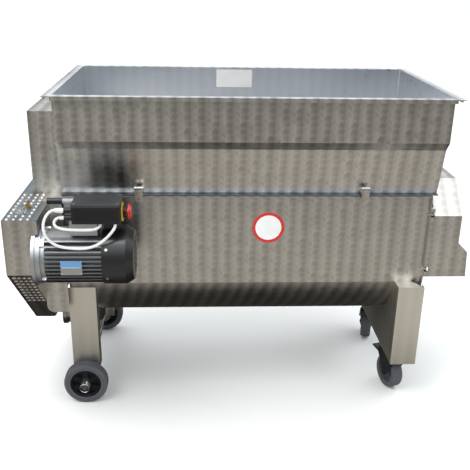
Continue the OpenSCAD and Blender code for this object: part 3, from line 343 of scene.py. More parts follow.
def sheet_steel(name, colour, place, contrast=0.42, roughness=0.33, band=0.12, lean=0.0, lining_and_sky_tint=None, splits=()):
    """Stainless sheet with ground swirls that carry a painted sheen, soft smudges and fine scratches."""
    material, g, shader = start_material(name, colour, Metallic=1.0)
    across, along = place(g)
    if lean:
        across = g.math("ADD", across, g.math("MULTIPLY", along, lean))
    marks = use_group(g, swirl_group(), Across=across, Along=along, Pitch=sizes().swirl_pitch)
    soft = use_group(g, smudge_group(), Scale=3.5)
    # the swirls' tone includes their painted sheen
    grinding_and_sheen = g.math("ADD", g.about(marks["Tone"], contrast), g.about(marks["Band"], band))
    grinding_and_sheen = g.math("ADD", grinding_and_sheen, g.math("MULTIPLY", marks["Scratch"], contrast * 0.12))
    shade = painted(g, colour, *splits)
    # inside the hopper the grind is smoother, and the colour takes a bluish tint that is a painted sky reflection
    if lining_and_sky_tint is not None:
        inside = within_hopper(g)
        shade = layered(g, shade, [(inside, lining_and_sky_tint)])
        grinding_and_sheen = g.math("MULTIPLY", grinding_and_sheen, g.math("SUBTRACT", 1.0, g.math("MULTIPLY", inside, 0.85)))
    factor = g.math("ADD", g.math("ADD", 1.0, grinding_and_sheen), g.about(soft["Patch"], 0.3))
    tint(g, shader, shade, factor)
    rough = g.math("ADD", roughness, g.about(soft["Patch"], 0.2))
    rough = g.math("ADD", rough, g.about(marks["Tone"], 0.1))
    g.feed(rough, shader.inputs["Roughness"])
    return material


def drawn_metal(name, colour, roughness=0.3, scales=(30.0, 400.0, 900.0), depth=0.00004, metallic=1.0, splits=()):
    """Turned, plated or rolled metal with a fine drawn grain."""
    material, g, shader = start_material(name, colour, Metallic=metallic)
    grain = use_group(g, grain_group(), Scale_X=scales[0], Scale_Y=scales[1], Scale_Z=scales[2])["Grain"]
    soft = use_group(g, smudge_group(), Scale=9.0)
    factor = g.math("ADD", g.math("ADD", 1.0, g.about(grain, 0.22)), g.about(soft["Patch"], 0.3))
    tint(g, shader, painted(g, colour, *splits), factor)
    g.feed(g.math("ADD", roughness, g.about(soft["Patch"], 0.3)), shader.inputs["Roughness"])
    bump(g, shader, grain, depth, 0.6)
    return material


DUST_COLOUR = (0.5, 0.47, 0.42)


def moulded(name, colour, roughness=0.45, grain_scale=900.0, depth=0.00005, dust=0.02, coat=0.0, shine=0.5, splits=()):
    """Moulded plastic, rubber or paint: fine grain with a little dust on faces that look up."""
    material, g, shader = start_material(name, colour, Metallic=0.0, Coat_Weight=coat, Coat_Roughness=0.15,
                                         Specular_IOR_Level=shine)
    grain = use_group(g, grain_group(), Scale_X=grain_scale, Scale_Y=grain_scale, Scale_Z=grain_scale)["Grain"]
    soft = use_group(g, smudge_group(), Scale=14.0)
    up = g.add("ShaderNodeSeparateXYZ", {0: g.add("ShaderNodeTexCoord").outputs["Normal"]}).outputs[2]
    settled = g.math("MULTIPLY", g.ramp(up, 0.2, 1.0), g.ramp(soft["Patch"], 0.35, 0.75))
    factor = g.math("ADD", g.math("ADD", 1.0, g.about(soft["Patch"], 0.35)), g.about(grain, 0.2))
    base = g.add("ShaderNodeVectorMath", {0: painted(g, colour, *splits)}, operation="SCALE")
    g.feed(factor, base.inputs["Scale"])
    veil = g.add("ShaderNodeVectorMath", {0: DUST_COLOUR}, operation="SCALE")
    g.feed(g.math("MULTIPLY", settled, dust), veil.inputs["Scale"])
    total = g.add("ShaderNodeVectorMath", {0: base.outputs[0], 1: veil.outputs[0]}, operation="ADD")
    g.feed(total.outputs[0], shader.inputs["Base Color"])
    g.feed(g.math("ADD", roughness, g.about(soft["Patch"], 0.22)), shader.inputs["Roughness"])
    bump(g, shader, grain, depth, 0.5)
    return material


# ---- Mesh helpers ----


def finish_mesh(name, mesh, body, materials, smooth_angle=None):
    """Puts a mesh into the scene as a piece that rides on a body."""
    piece = bpy.data.objects.new(name, mesh)
    bpy.context.scene.collection.objects.link(piece)
    mesh.materials.clear()
    for material in materials:
        mesh.materials.append(bpy.data.materials[material])
    if smooth_angle is not None:
        mesh.polygons.foreach_set("use_smooth", [True] * len(mesh.polygons))
        mesh.set_sharp_from_angle(angle=math.radians(smooth_angle))
    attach(piece, body)
    return piece


def mesh_from(name, points, faces, matrix=None, recalculate=False, merge=0.0):
    mesh = bpy.data.meshes.new(name)
    mesh.from_pydata([tuple(p) for p in points], [], faces)
    if matrix is not None:
        mesh.transform(matrix)
    work = bmesh.new()
    work.from_mesh(mesh)
    if merge:
        bmesh.ops.remove_doubles(work, verts=work.verts, dist=merge)
    if recalculate:
        bmesh.ops.recalc_face_normals(work, faces=work.faces)
    work.to_mesh(mesh)
    work.free()
    mesh.update()
    return mesh


def lathe(name, profile, centre, axis, steps=96, closed=True):
    """A closed ring or solid turned from (radius, distance) points about an axis through centre."""
    axis = Vector(axis).normalized()
    side = axis.orthogonal().normalized()
    other = axis.cross(side)
    points = []
    for i in range(steps):
        turn = 2 * math.pi * i / steps
        out = side * math.cos(turn) + other * math.sin(turn)
        points += [Vector(centre) + axis * d + out * r for r, d in profile]
    n = len(profile)
    faces = []
    for i in range(steps):
        j = (i + 1) % steps
        for k in range(n if closed else n - 1):
            m = (k + 1) % n
            faces.append((i * n + k, i * n + m, j * n + m, j * n + k))
    return mesh_from(name, points, faces, recalculate=True, merge=1e-7)


def grid_tree(name, kind):
    """A node tree that sets one small form on each point of a grid or a line."""
    tree = bpy.data.node_groups.new(name, "GeometryNodeTree")
    face = tree.interface
    wanted = [("Columns", "NodeSocketInt", 4), ("Rows", "NodeSocketInt", 4), ("Width", "NodeSocketFloat", 0.1),
              ("Length", "NodeSocketFloat", 0.1), ("Form", "NodeSocketVector", (0.01, 0.01, 0.01)),
              ("Sides", "NodeSocketInt", 16), ("Material", "NodeSocketMaterial", None)]
    for label, socket_type, default in wanted:
        socket = face.new_socket(label, in_out="INPUT", socket_type=socket_type)
        if default is not None:
            socket.default_value = default
    face.new_socket("Geometry", in_out="OUTPUT", socket_type="NodeSocketGeometry")
    g = Graph(tree)
    given = g.add("NodeGroupInput").outputs
    points = g.add("GeometryNodeMeshGrid", {"Vertices X": given["Columns"], "Vertices Y": given["Rows"],
                                            "Size X": given["Width"], "Size Y": given["Length"]})
    if kind == "dome":
        form = g.add("GeometryNodeMeshUVSphere", {"Segments": given["Sides"], "Rings": 8, "Radius": 1.0})
    else:
        form = g.add("GeometryNodeMeshCylinder", {"Vertices": given["Sides"], "Radius": 1.0, "Depth": 2.0})
    shaped = g.add("GeometryNodeTransform", {"Geometry": form.outputs["Mesh"], "Scale": given["Form"]})
    placed = g.add("GeometryNodeInstanceOnPoints", {"Points": points.outputs["Mesh"],
                                                    "Instance": shaped.outputs["Geometry"]})
    real = g.add("GeometryNodeRealizeInstances", {"Geometry": placed.outputs["Instances"]})
    painted = g.add("GeometryNodeSetMaterial", {"Geometry": real.outputs["Geometry"], "Material": given["Material"]})
    g.add("NodeGroupOutput", {0: painted.outputs["Geometry"]})
    return tree


def grown(name, kind, matrix, material, columns, rows, width, length, form, sides=16):
    """The plain mesh that a grid tree makes, moved to where matrix says."""
    key = f"{kind.title()} Grid"
    tree = bpy.data.node_groups.get(key) or grid_tree(key, kind)
    holder = bpy.data.objects.new(name + "_grid", bpy.data.meshes.new(name))
    bpy.context.scene.collection.objects.link(holder)
    modifier = holder.modifiers.new("Grid", "NODES")
    modifier.node_group = tree
    values = {"Columns": columns, "Rows": rows, "Width": width, "Length": length, "Form": form, "Sides": sides,
              "Material": bpy.data.materials[material]}
    for item in tree.interface.items_tree:
        if item.in_out == "INPUT":
            modifier[item.identifier] = values[item.name]
    graph = bpy.context.evaluated_depsgraph_get()
    mesh = bpy.data.meshes.new_from_object(holder.evaluated_get(graph))
    bpy.data.objects.remove(holder)
    mesh.transform(matrix)
    return mesh


def joined(name, meshes):
    """One mesh made of several."""
    work = bmesh.new()
    for mesh in meshes:
        work.from_mesh(mesh)
    whole = bpy.data.meshes.new(name)
    work.to_mesh(whole)
    work.free()
    return whole


def facing(origin, across, along):
    """Matrix that puts X on across and Y on along at origin."""
    x, y = Vector(across).normalized(), Vector(along).normalized()
    z = x.cross(y)
    return Matrix.Translation(origin) @ Matrix((x, y, z)).transposed().to_4x4()


def rounded_plate(name, width, height, thickness, corner, matrix, steps=6):
    """A thin plate with round corners and a small chamfer, drawn about its middle."""
    rim = []
    for cx, cy, start in ((1, 1, 0), (-1, 1, 90), (-1, -1, 180), (1, -1, 270)):
        for i in range(steps + 1):
            turn = math.radians(start + 90 * i / steps)
            rim.append((cx * (width / 2 - corner), cy * (height / 2 - corner), math.cos(turn), math.sin(turn)))
    chamfer = min(thickness * 0.4, corner * 0.5)
    layers = [(0.0, 0.0), (0.0, thickness - chamfer), (chamfer, thickness)]
    points, faces, n = [], [], len(rim)
    for inset, z in layers:
        points += [(x + c * (corner - inset), y + s * (corner - inset), z) for x, y, c, s in rim]
    for layer in range(2):
        for i in range(n):
            j = (i + 1) % n
            faces.append((layer * n + i, layer * n + j, (layer + 1) * n + j, (layer + 1) * n + i))
    faces += [tuple(range(n - 1, -1, -1)), tuple(range(2 * n, 3 * n))]
    return mesh_from(name, points, faces, matrix, recalculate=True)


# ---- Routes of the leads, repeated from the frame ----

ROUTE_ORIGIN = (-5.25, -62.0, 0.0)
LOOP_ROUTE = [
    (-485, -366, 643), (-491, -366, 643), (-497, -367.5, 641.5), (-502.5, -371, 638), (-507, -375.5, 633),
    (-510.5, -380, 626.5), (-513, -384, 619), (-514, -387.5, 610.5), (-513.5, -389.5, 601.5),
    (-511.5, -390.5, 592.5), (-507.5, -391, 583.5), (-502, -391, 575.5), (-495, -391, 568.5),
    (-486.5, -391, 563), (-477, -391, 559), (-466, -391, 556.5), (-454, -391, 555), (-441, -391, 554),
    (-428, -391, 553.5), (-415, -391, 554.5), (-402, -391, 557.5), (-390, -390.5, 562), (-379, -389.5, 568.5),
    (-369.5, -388, 576), (-361, -386, 583.5), (-354, -383.5, 591), (-348.5, -381, 598), (-345.2, -378.8, 603.5),
    (-343.8, -377.8, 608.2), (-343.5, -377.6, 612.6),
]
SHORT_ROUTE = [
    (-475, -366, 624), (-480.5, -366, 624), (-485.5, -367.4, 622), (-489.3, -370, 618.5),
    (-490.8, -373, 614.4), (-489.8, -376, 610.3), (-486.5, -378.8, 606.8), (-481.5, -381, 604.3),
    (-475.5, -382.6, 602.7), (-468, -383.8, 601.5), (-458, -384.5, 600.5), (-446, -385, 599.8),
    (-434, -385, 599.5), (-422, -384.8, 599.3), (-411, -384.2, 599.2), (-401, -383, 599.3), (-393, -381.2, 600),
    (-386.8, -379, 601.8), (-382.5, -377, 604.8), (-379.9, -375.6, 608.6), (-379.6, -375.4, 612.4),
]


def in_frame(point):
    return tuple((a - b) * MM for a, b in zip(point, ROUTE_ORIGIN))


# ---- Operators ----

CAMERA_OFFSET = Vector((-0.1451, -1.9518, 0.3014))  # from the middle of the rim
CAMERA_YAW, CAMERA_PITCH, CAMERA_ROLL = 0.0582, 0.3735, 0.0198
CAMERA_LENS, CAMERA_SENSOR = 52.85, 36.0
FLOOR_REACH = 14.0
FLOOR_COLOUR = (0.88, 0.88, 0.87)
SKY_COLOUR = (0.95, 0.98, 1.0, 1.0)
SEEN_SKY = 1.05  # strength of the backdrop itself
# colour of the painted glow that the floor gives to reflections only
GLOW_COLOUR = (0.5, 0.475, 0.43)


class CRUSHER_OT_stage(bpy.types.Operator):
    """Makes the camera, the pale floor with a painted glow seen only in reflections, and the soft light"""

    bl_idname = "crusher.stage"
    bl_label = "Stage"

    def execute(self, context):
        scene = context.scene
        yaw, pitch, roll = CAMERA_YAW, CAMERA_PITCH, CAMERA_ROLL
        forward = Vector((math.sin(yaw) * math.cos(pitch), math.cos(yaw) * math.cos(pitch), -math.sin(pitch)))
        right = Vector((math.cos(yaw), -math.sin(yaw), 0.0))
        up = right.cross(forward)
        right, up = right * math.cos(roll) + up * math.sin(roll), up * math.cos(roll) - right * math.sin(roll)
        data = bpy.data.cameras.new("camera")
        data.lens, data.sensor_width = CAMERA_LENS, CAMERA_SENSOR
        camera = bpy.data.objects.new("camera", data)
        scene.collection.objects.link(camera)
        camera.matrix_world = (
            Matrix.Translation(CENTRE + CAMERA_OFFSET)
            @ Matrix((right, up, -forward)).transposed().to_4x4()
        )
        scene.camera = camera

        floor = bpy.data.meshes.new("floor")
        corners = [(x * FLOOR_REACH, y * FLOOR_REACH, 0) for x, y in ((-1, -1), (1, -1), (1, 1), (-1, 1))]
        floor.from_pydata(corners, [], [(0, 1, 2, 3)])
        ground = bpy.data.objects.new("floor", floor)
        scene.collection.objects.link(ground)
        material, g, shader = start_material("floor_paint", FLOOR_COLOUR, Roughness=0.9)
        soft = use_group(g, smudge_group(), Scale=1.2)
        tint(g, shader, FLOOR_COLOUR, g.math("ADD", 1.0, g.about(soft["Patch"], 0.02)))
        self.painted_ground_glow(material, g, shader)
        floor.materials.append(material)

        world = bpy.data.worlds.new("world")
        world.use_nodes = True
        scene.world = world
        scene.view_settings.view_transform = "Standard"
        g = Graph(world.node_tree)
        up_part = g.add("ShaderNodeSeparateXYZ", {0: g.add("ShaderNodeTexCoord").outputs["Generated"]}).outputs[2]
        back = world.node_tree.nodes["Background"]
        back.inputs["Color"].default_value = SKY_COLOUR
        seen = g.add("ShaderNodeLightPath").outputs["Is Camera Ray"]
        mirrored_sky = g.ramp(up_part, 0.15, 0.75, 0.3, 1.7)
        g.feed(g.blend(seen, mirrored_sky, SEEN_SKY), back.inputs["Strength"])

        for name, place, aim, size, power, colour in (
            ("key", (-1.6, -1.4, 3.6), (0.0, 0.0, 0.5), 2.0, 60.0, (1.0, 0.99, 0.97)),
            ("fill", (2.6, 1.2, 3.0), (0.2, 0.0, 0.5), 1.8, 25.0, (0.92, 0.96, 1.0)),
        ):
            light = bpy.data.lights.new(name, "AREA")
            light.shape, light.size, light.energy, light.color = "SQUARE", size, power, colour
            lamp = bpy.data.objects.new(name, light)
            scene.collection.objects.link(lamp)
            turn = (Vector(aim) - Vector(place)).to_track_quat("-Z", "Y")
            lamp.matrix_world = Matrix.Translation(place) @ turn.to_matrix().to_4x4()
        return {"FINISHED"}

    @staticmethod
    def painted_ground_glow(material, g, shader):
        """Painted reflection of the ground, a glow seen only by glossy rays: painted shade underneath, a painted
        bright strip in front, darker further off.
        """
        at = g.add("ShaderNodeSeparateXYZ", {0: g.add("ShaderNodeTexCoord").outputs["Object"]}).outputs
        ahead = g.math("MULTIPLY", at[Y], -1.0)
        before = g.ramp(ahead, 0.2, 0.62)
        beside = g.ramp(g.math("ABSOLUTE", at[X]), 0.75, 1.3)
        light = g.math("MULTIPLY", g.math("MAXIMUM", before, beside), g.ramp(ahead, 1.5, 2.6, 1.0, 0.5))
        glow = g.add("ShaderNodeVectorMath", {0: GLOW_COLOUR}, operation="SCALE")
        shade = 0.07
        g.feed(g.math("ADD", g.math("MULTIPLY", light, 1.0 - shade), shade), glow.inputs["Scale"])
        emission = g.add("ShaderNodeEmission", {"Color": glow.outputs[0], "Strength": 1.0})
        # the floor glows only for glossy rays; camera and diffuse rays see the plain floor
        mirrored = g.add("ShaderNodeLightPath").outputs["Is Glossy Ray"]
        mix = g.add("ShaderNodeMixShader", {0: mirrored, 1: shader.outputs[0], 2: emission.outputs[0]})
        g.feed(mix.outputs[0], material.node_tree.nodes["Material Output"].inputs["Surface"])


class CRUSHER_OT_leads(bpy.types.Operator):
    """Lays the two white leads along their routes, with tapered sleeves at their glands"""

    bl_idname = "crusher.leads"
    bl_label = "Leads"

    def execute(self, context):
        white = moulded("lead_sheath", colours().lead, roughness=0.42, grain_scale=500.0, dust=0.02)
        sleeves = []
        bore, sleeve_end = 3.7, -5.2
        for name, route, start_r in (("cable_loop", LOOP_ROUTE, 5.6), ("cable_short", SHORT_ROUTE, 4.8)):
            points = [Vector(in_frame(p)) for p in route]
            curve = bpy.data.curves.new(name + "_sheath", "CURVE")
            curve.dimensions = "3D"
            curve.bevel_depth = sizes().lead_diameter / 2
            curve.bevel_resolution = 5
            curve.use_fill_caps = True
            spline = curve.splines.new("POLY")
            spline.points.add(len(points) - 1)
            for place, point in zip(spline.points, points):
                place.co = (*point, 1.0)
            curve.materials.append(white)
            lead = bpy.data.objects.new(name + "_sheath", curve)
            context.scene.collection.objects.link(lead)
            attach(lead, "chassis")
            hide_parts(name)
            profile = [(bore, 1.0), (start_r, 0.2), (start_r, -1.5), (start_r - 0.6, -2.0), (start_r - 0.2, -2.6),
                       (start_r - 0.9, -4.2), (bore, sleeve_end)]
            sleeves.append(lathe(name + "_sleeve", [(r * MM, d * MM) for r, d in profile], points[0], (1, 0, 0), 32))
        mesh = joined("gland_sleeves", sleeves)
        finish_mesh("gland_sleeves", mesh, "chassis", ["lead_sheath"], 40)
        return {"FINISHED"}


class CRUSHER_OT_finishes(bpy.types.Operator):
    """Gives every node of the frame its finish"""

    bl_idname = "crusher.finishes"
    bl_label = "Finishes"

    def execute(self, context):
        c = colours()
        flange, inlet_nut, gland_nut, collar_front, stud_brass = 4 * MM, 34 * MM, 20.1 * MM, 2.55 * MM, 26 * MM
        collar_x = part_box("stop_collar")[0].x + collar_front
        stud_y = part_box("casing_studs")[0].y + stud_brass
        sheet_steel("swirled_sheet", c.sheet, flat_place)
        sheet_steel("hopper_sheet", c.sheet, flat_place, lining_and_sky_tint=c.lining_and_sky_tint,
                    # painted highlight: the rim's top face is whitish blue, a painted reflection of the sky
                    splits=((Z, HOPPER_HIGH.z - HAIR, 1.0, (0.93, 0.95, 1.0)),
                            # painted shade: a dark bluish band on the flange along the hopper's foot
                            (Z, HOPPER_LOW.z + flange, -1.0, (0.3, 0.33, 0.37))))
        sheet_steel("casing_sheet", c.sheet, flat_place,
                    # painted shade: the casing's top face is dark bluish, a painted dark reflection; its sides keep
                    # the sheet colour
                    splits=((Z, CASING_HIGH.z - HAIR, 1.0, (0.22, 0.25, 0.265)),))
        moulded("collar_plastic", c.yellow, 0.4, dust=0.0, splits=((X, collar_x, 1.0, c.plastic),))
        moulded("gland_plastic", c.lead, 0.4, dust=0.0, splits=((X, BOX_LOW.x - gland_nut, 1.0, c.plastic),))
        moulded("inlet_plastic", c.plastic, 0.35, splits=((X, BOX_LOW.x - inlet_nut, 1.0, (0.42, 0.43, 0.45)),))
        drawn_metal("stud_metals", (0.7, 0.7, 0.68), 0.3, (300.0, 300.0, 900.0),
                    splits=((Y, stud_y, 1.0, c.brass),))
        sheet_steel("swirled_trough", c.sheet, round_place, contrast=0.25, band=0.3, lean=0.25)
        sheet_steel("leg_sheet", c.leg, flat_place, contrast=0.06, roughness=0.4, band=0.03)
        drawn_metal("inner_steel", c.inner, 0.32)
        drawn_metal("bright_metal", c.bright, 0.22, (300.0, 300.0, 300.0))
        drawn_metal("machined_iron", c.iron, 0.42, (200.0, 700.0, 700.0))
        drawn_metal("motor_casting", c.housing, 0.45, (500.0, 500.0, 500.0), 0.0002, metallic=0.85)
        drawn_metal("shield_casting", c.shield, 0.4, (500.0, 500.0, 500.0), 0.0002)
        moulded("black_moulding", c.plastic, 0.42)
        moulded("fan_paint", c.plastic, 0.3, 300.0, 0.0001, coat=0.25)
        moulded("lid_moulding", c.lid, 0.5, dust=0.04)
        moulded("red_moulding", c.red, 0.3, dust=0.0, coat=0.3)
        moulded("tyre_rubber", c.tyre, 0.62, 700.0, 0.0001, dust=0.04, shine=0.2)
        moulded("hub_moulding", c.plastic, 0.4, dust=0.02, shine=0.3)
        moulded("caster_coating", c.coating, 0.35, 250.0, 0.0001, coat=0.2)
        moulded("gasket_rubber", (0.11, 0.125, 0.15), 0.4, dust=0.03)
        moulded("roller_rubber", (0.05, 0.05, 0.05), 0.6)
        finish_of = {
            "hopper_sheet": "hopper_shell",
            "casing_sheet": "drive_casing",
            "swirled_sheet": "trough_panels stem_chute drive_frame screw_cover clasp_left clasp_right",
            "swirled_trough": "trough_shell",
            "leg_sheet": "left_legs right_stand",
            "inner_steel": "hopper_floor trough_end_left trough_end_right must_outlet beater_shaft drum drum_quill "
                           "feed_screw",
            "bright_metal": "flange_bolts clasp_brackets wheel_axle linch_pins small_screws motor_rotor tension_knob",
            "machined_iron": "shaft_bearings drive_chains beater_drive_wheels screw_sprockets motor_pulley",
            "motor_casting": "motor_body",
            "shield_casting": "motor_end_shield terminal_pedestal",
            "stud_metals": "casing_studs",
            "black_moulding": "switch_box",
            "gland_plastic": "cable_glands",
            "inlet_plastic": "power_inlet",
            "fan_paint": "motor_fan_cover",
            "lid_moulding": "switch_lid",
            "red_moulding": "stop_button",
            "collar_plastic": "stop_collar",
            "tyre_rubber": "tyre_front tyre_rear caster_wheel_front caster_wheel_rear",
            "hub_moulding": "hub_front hub_rear",
            "caster_coating": "caster_plates caster_fork_front caster_fork_rear brake_pedal_front brake_pedal_rear",
            "gasket_rubber": "joint_gasket drive_belt",
            "roller_rubber": "roller_front roller_rear",
            "lead_sheath": "cable_loop cable_short",
        }
        for finish, names in finish_of.items():
            for name in names.split():
                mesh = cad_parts[name].data
                mesh.materials.clear()
                mesh.materials.append(bpy.data.materials[finish])
        return {"FINISHED"}


class CRUSHER_OT_louvres(bpy.types.Operator):
    """Presses rows of small louvres into the top and the slanted underside of the drive casing"""

    bl_idname = "crusher.louvres"
    bl_label = "Louvres"

    def execute(self, context):
        length, height = sizes().louvre_length, sizes().louvre_height
        form = (length * 0.38, length / 2, height)
        column, row = 17 * MM, 24 * MM
        side_margin, front_margin, sunk = 12 * MM, 11 * MM, 0.3 * MM
        left, front = CASING_LOW.x + side_margin, CASING_LOW.y + front_margin
        pieces = []
        for columns, first_row, rows in ((4, 0, 2), (4, 5, 4), (2, 2, 3)):
            gap = column * (3 if columns == 2 else 1)
            width, deep = gap * (columns - 1), row * (rows - 1)
            middle = Vector((left + width / 2, front + row * first_row + deep / 2, CASING_HIGH.z - sunk))
            pieces.append(grown("louvres_top", "dome", facing(middle, (1, 0, 0), (0, 1, 0)), "swirled_sheet",
                                columns, rows, width, deep, form))
        step = Vector((0.0, 1.0, -1.0)).normalized()
        face_height, slant_margin, slant_width, run = 145 * MM, 22 * MM, 38 * MM, 176 * MM
        base = Vector((left + 1.2 * column, CASING_LOW.y, CASING_HIGH.z - face_height))
        middle = base + step * (slant_margin + run / 2)
        pieces.append(grown("louvres_slant", "dome", facing(middle, (-1, 0, 0), step), "swirled_sheet", 4, 9,
                            slant_width, run, (length * 0.42, length * 0.38, height)))
        mesh = joined("casing_louvres", pieces)
        finish_mesh("casing_louvres", mesh, "chassis", ["swirled_sheet"], 60)
        return {"FINISHED"}


class CRUSHER_OT_plates(bpy.types.Operator):
    """Adds the round sign, the blank label in the hopper and the blank plate on the motor"""

    bl_idname = "crusher.plates"
    bl_label = "Plates"

    def execute(self, context):
        moulded("sign_face", (0.78, 0.78, 0.76), 0.35, dust=0.0)
        moulded("plate_blue", (0.12, 0.27, 0.5), 0.3, dust=0.0)
        radius = sizes().sign_diameter / 2
        inner, skin, proud = radius - 8.4 * MM, 0.6 * MM, 0.9 * MM
        centre = Vector((CENTRE.x + 47.5 * MM, PANELS_LOW.y, 536 * MM))
        face_r = radius - 8.5 * MM
        face = lathe("sign_face", [(0.0, skin), (face_r, skin), (face_r, 0.0)], centre, (0, -1, 0), 64, closed=False)
        ring = [(inner, 0.0), (inner, proud), (radius - 0.6 * MM, proud), (radius, 0.4 * MM), (radius, 0.0)]
        finish_mesh("sign_face", face, "chassis", ["sign_face"], 30)
        finish_mesh("sign_ring", lathe("sign_ring", ring, centre, (0, -1, 0), 96), "chassis",
                    ["red_moulding"], 30)
        across, up = (1, 0, 0), (0, 0, 1)
        back = HOPPER_HIGH.y - 22.2 * MM
        label = rounded_plate("hopper_label", 112 * MM, 54 * MM, 0.5 * MM, 2 * MM,
                              facing((CENTRE.x - 29 * MM, back, 867 * MM), across, up))
        finish_mesh("hopper_label", label, "chassis", ["sign_face"], 30)
        width, thick, corner = 52 * MM, 0.8 * MM, 1 * MM
        at = Vector((BOX_LOW.x - 6 * MM, MOTOR_LOW.y + 0.3 * MM, 505 * MM))
        upper = rounded_plate("plate_upper", width, 17 * MM, thick, corner,
                              facing(at + Vector((0, 0, 9 * MM)), across, up))
        lower = rounded_plate("plate_lower", width, 20 * MM, thick, corner,
                              facing(at - Vector((0, 0, 9.7 * MM)), across, up))
        finish_mesh("motor_plate_upper", upper, "chassis", ["plate_blue"], 30)
        finish_mesh("motor_plate_lower", lower, "chassis", ["shield_casting"], 30)
        rivets = grown("plate_rivets", "dome", facing(at - Vector((0, 0.9 * MM, 0)), across, up),
                       "bright_metal", 2, 2, 47 * MM, 33 * MM, (1.5 * MM, 1.5 * MM, 0.8 * MM), 12)
        finish_mesh("plate_rivets", rivets, "chassis", ["bright_metal"], 60)
        return {"FINISHED"}


class CRUSHER_OT_welds(bpy.types.Operator):
    """Runs a line of small weld beads down each inner corner of the hopper's collar"""

    bl_idname = "crusher.welds"
    bl_label = "Welds"

    def execute(self, context):
        r = sizes().bead_radius
        low, high = 792 * MM, HOPPER_HIGH.z - 4 * MM
        inset = 22.6 * MM
        half_x = (HOPPER_HIGH.x - HOPPER_LOW.x) / 2 - inset
        half_y = (HOPPER_HIGH.y - HOPPER_LOW.y) / 2 - inset
        lines = []
        for sx in (-1, 1):
            for sy in (-1, 1):
                at = Vector((CENTRE.x + sx * half_x, CENTRE.y + sy * half_y, (low + high) / 2))
                lines.append(grown("weld", "dome", facing(at, (1, 0, 0), (0, 0, 1)), "inner_steel", 1, 26, 0.0,
                                   high - low, (r, r * 1.2, r), 10))
        finish_mesh("corner_welds", joined("corner_welds", lines), "chassis", ["inner_steel"], 60)
        return {"FINISHED"}


def hub_mesh(name, centre, outward):
    """A moulded hub: a dished disc with six petal recesses on both sides, a boss and a bore."""
    bore, rim, half = 8.06 * MM, 44.5 * MM, 14.5 * MM
    boss, groove, web_edge = 15 * MM, 17 * MM, 40 * MM
    petal_start, petal_length, petal_depth, step_in = 19 * MM, 18 * MM, 9 * MM, 2 * MM
    rings, steps = 26, 144
    turn_out = Vector(outward)
    side, other = Vector((1, 0, 0)), Vector((0, 0, 1))
    points, faces = [], []

    def depth(r, turn):
        if r < boss:
            return half + step_in
        if r < groove:
            return half
        petal = abs(((math.degrees(turn) + 30) % 60) - 30) / 30
        t = (r - petal_start) / petal_length
        width = 0.30 + 0.32 * t
        if 0 <= t <= 1 and petal < width * math.sqrt(max(0.0, 1 - (2 * t - 1) ** 6)):
            return half - petal_depth
        return half - (0 if r > web_edge else step_in)

    for face in (1, -1):
        first = len(points)
        for k in range(rings + 1):
            r = bore + (rim - bore) * k / rings
            for i in range(steps):
                turn = 2 * math.pi * i / steps
                points.append(Vector(centre) + side * (r * math.cos(turn)) + other * (r * math.sin(turn))
                              + turn_out * (face * depth(r, turn)))
        for k in range(rings):
            for i in range(steps):
                j = (i + 1) % steps
                low, high = first + k * steps, first + (k + 1) * steps
                faces.append((low + i, high + i, high + j, low + j))
    back = (rings + 1) * steps
    for k in (0, rings):
        for i in range(steps):
            j = (i + 1) % steps
            faces.append((k * steps + i, k * steps + j, back + k * steps + j, back + k * steps + i))
    return mesh_from(name, points, faces, recalculate=True)


class CRUSHER_OT_wheels(bpy.types.Operator):
    """Makes the grooved tyres and the dished hubs of the two rear wheels"""

    bl_idname = "crusher.wheels"
    bl_label = "Wheels"

    def execute(self, context):
        for end, out in (("front", -1), ("rear", 1)):
            low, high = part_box(f"tyre_{end}")
            centre = (low + high) / 2
            r = (high.z - low.z) / 2
            w = (high.y - low.y) / 2
            inner, dip = r - 17.95 * MM, -w + 1.2 * MM
            profile = [(inner, -w + 2 * MM), (inner + 5 * MM, -w), (r - 13 * MM, -w), (r - 12 * MM, dip),
                       (r - 10 * MM, dip), (r - 9 * MM, -w)]
            shoulder = 7 * MM
            profile += [(r - shoulder + shoulder * math.sin(a), -w + shoulder - shoulder * math.cos(a))
                        for a in (math.radians(15 * i) for i in range(1, 6))]
            groove = r - 1.8 * MM
            left = [(r, -w + shoulder), (r, -6.5 * MM), (groove, -6 * MM), (groove, -4.6 * MM), (r, -4.1 * MM)]
            profile += left + [(a, -b) for a, b in reversed(left)]
            profile += [(a, -b) for a, b in reversed(profile[:11])]
            tyre = finish_mesh(f"rubber_tyre_{end}", lathe(f"tyre_{end}", profile, centre, (0, 1, 0), 120),
                               f"wheel_{end}", ["tyre_rubber"], 35)
            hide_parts(f"tyre_{end}")
            hub = finish_mesh(f"dished_hub_{end}", hub_mesh(f"hub_{end}", centre, (0, out, 0)), f"wheel_{end}",
                              ["hub_moulding"], 35)
            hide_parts(f"hub_{end}")
        return {"FINISHED"}


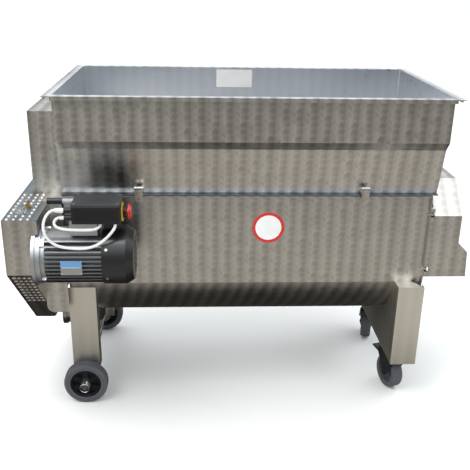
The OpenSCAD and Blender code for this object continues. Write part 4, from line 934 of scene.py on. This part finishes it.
class CRUSHER_OT_screw(bpy.types.Operator):
    """Winds the smooth flight of the feed screw round its shaft"""

    bl_idname = "crusher.screw"
    bl_label = "Feed screw"

    def execute(self, context):
        pitch, shaft_r, reach = 110 * MM, 14 * MM, (SCREW_HIGH.z - SCREW_LOW.z) / 2
        y, z = (SCREW_LOW.y + SCREW_HIGH.y) / 2, (SCREW_LOW.z + SCREW_HIGH.z) / 2
        start, end = CENTRE.x - 316 * MM, SCREW_HIGH.x - 19 * MM
        t = sizes().flight_thickness
        steps = int(48 * (end - start) / pitch)
        root, edge = shaft_r - 1 * MM, 1 * MM
        rows = [(root, -t / 2), (reach - edge, -t / 2), (reach, -t / 2 + edge), (reach, t / 2 - edge),
                (reach - edge, t / 2), (root, t / 2)]
        points, faces, n = [], [], len(rows)
        for i in range(steps + 1):
            x = start + (end - start) * i / steps
            turn = 2 * math.pi * (x - start) / pitch
            points += [(x + d, y + r * math.sin(turn), z + r * math.cos(turn)) for r, d in rows]
        for i in range(steps):
            for k in range(n):
                m = (k + 1) % n
                faces.append((i * n + k, i * n + m, (i + 1) * n + m, (i + 1) * n + k))
        faces += [tuple(range(n)), tuple(steps * n + k for k in reversed(range(n)))]
        flight = mesh_from("flight", points, faces, recalculate=True)
        chamfer = 1.5 * MM
        length, face_r = SCREW_HIGH.x - SCREW_LOW.x, shaft_r - chamfer
        rod = [(0.0, 0.0), (face_r, 0.0), (shaft_r, chamfer), (shaft_r, length - chamfer), (face_r, length),
               (0.0, length)]
        shaft = lathe("screw_shaft", rod, (SCREW_LOW.x, y, z), (1, 0, 0), 48, closed=False)
        whole = joined("wound_feed_screw", [flight, shaft])
        piece = finish_mesh("wound_feed_screw", whole, "screw_body", ["inner_steel"], 35)
        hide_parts("feed_screw")
        return {"FINISHED"}


class CRUSHER_PT_panel(bpy.types.Panel):
    """Lists the machine's settings and steps"""

    bl_idname = "CRUSHER_PT_panel"
    bl_label = "Crusher"
    bl_space_type = "VIEW_3D"
    bl_region_type = "UI"
    bl_category = "Crusher"

    def draw(self, context):
        for group in (context.scene.crusher_sizes, context.scene.crusher_colours):
            for key in group.bl_rna.properties.keys():
                if key not in ("rna_type", "name"):
                    self.layout.prop(group, key)
        for step in OPERATORS:
            self.layout.operator(step.bl_idname)


OPERATORS = (
    CRUSHER_OT_stage,
    CRUSHER_OT_leads,
    CRUSHER_OT_finishes,
    CRUSHER_OT_louvres,
    CRUSHER_OT_plates,
    CRUSHER_OT_welds,
    CRUSHER_OT_wheels,
    CRUSHER_OT_screw,
)
CLASSES = (CrusherColours, CrusherSizes, *OPERATORS, CRUSHER_PT_panel)


def register():
    for item in CLASSES:
        bpy.utils.register_class(item)
    bpy.types.Scene.crusher_colours = bpy.props.PointerProperty(type=CrusherColours)
    bpy.types.Scene.crusher_sizes = bpy.props.PointerProperty(type=CrusherSizes)


def unregister():
    del bpy.types.Scene.crusher_sizes
    del bpy.types.Scene.crusher_colours
    for item in reversed(CLASSES):
        bpy.utils.unregister_class(item)


def main():
    register()
    for step in OPERATORS:
        package, name = step.bl_idname.split(".")
        if getattr(getattr(bpy.ops, package), name)() != {"FINISHED"}:
            raise RuntimeError(f"{step.bl_label} didn't finish")


if __name__ == "__main__":
    main()
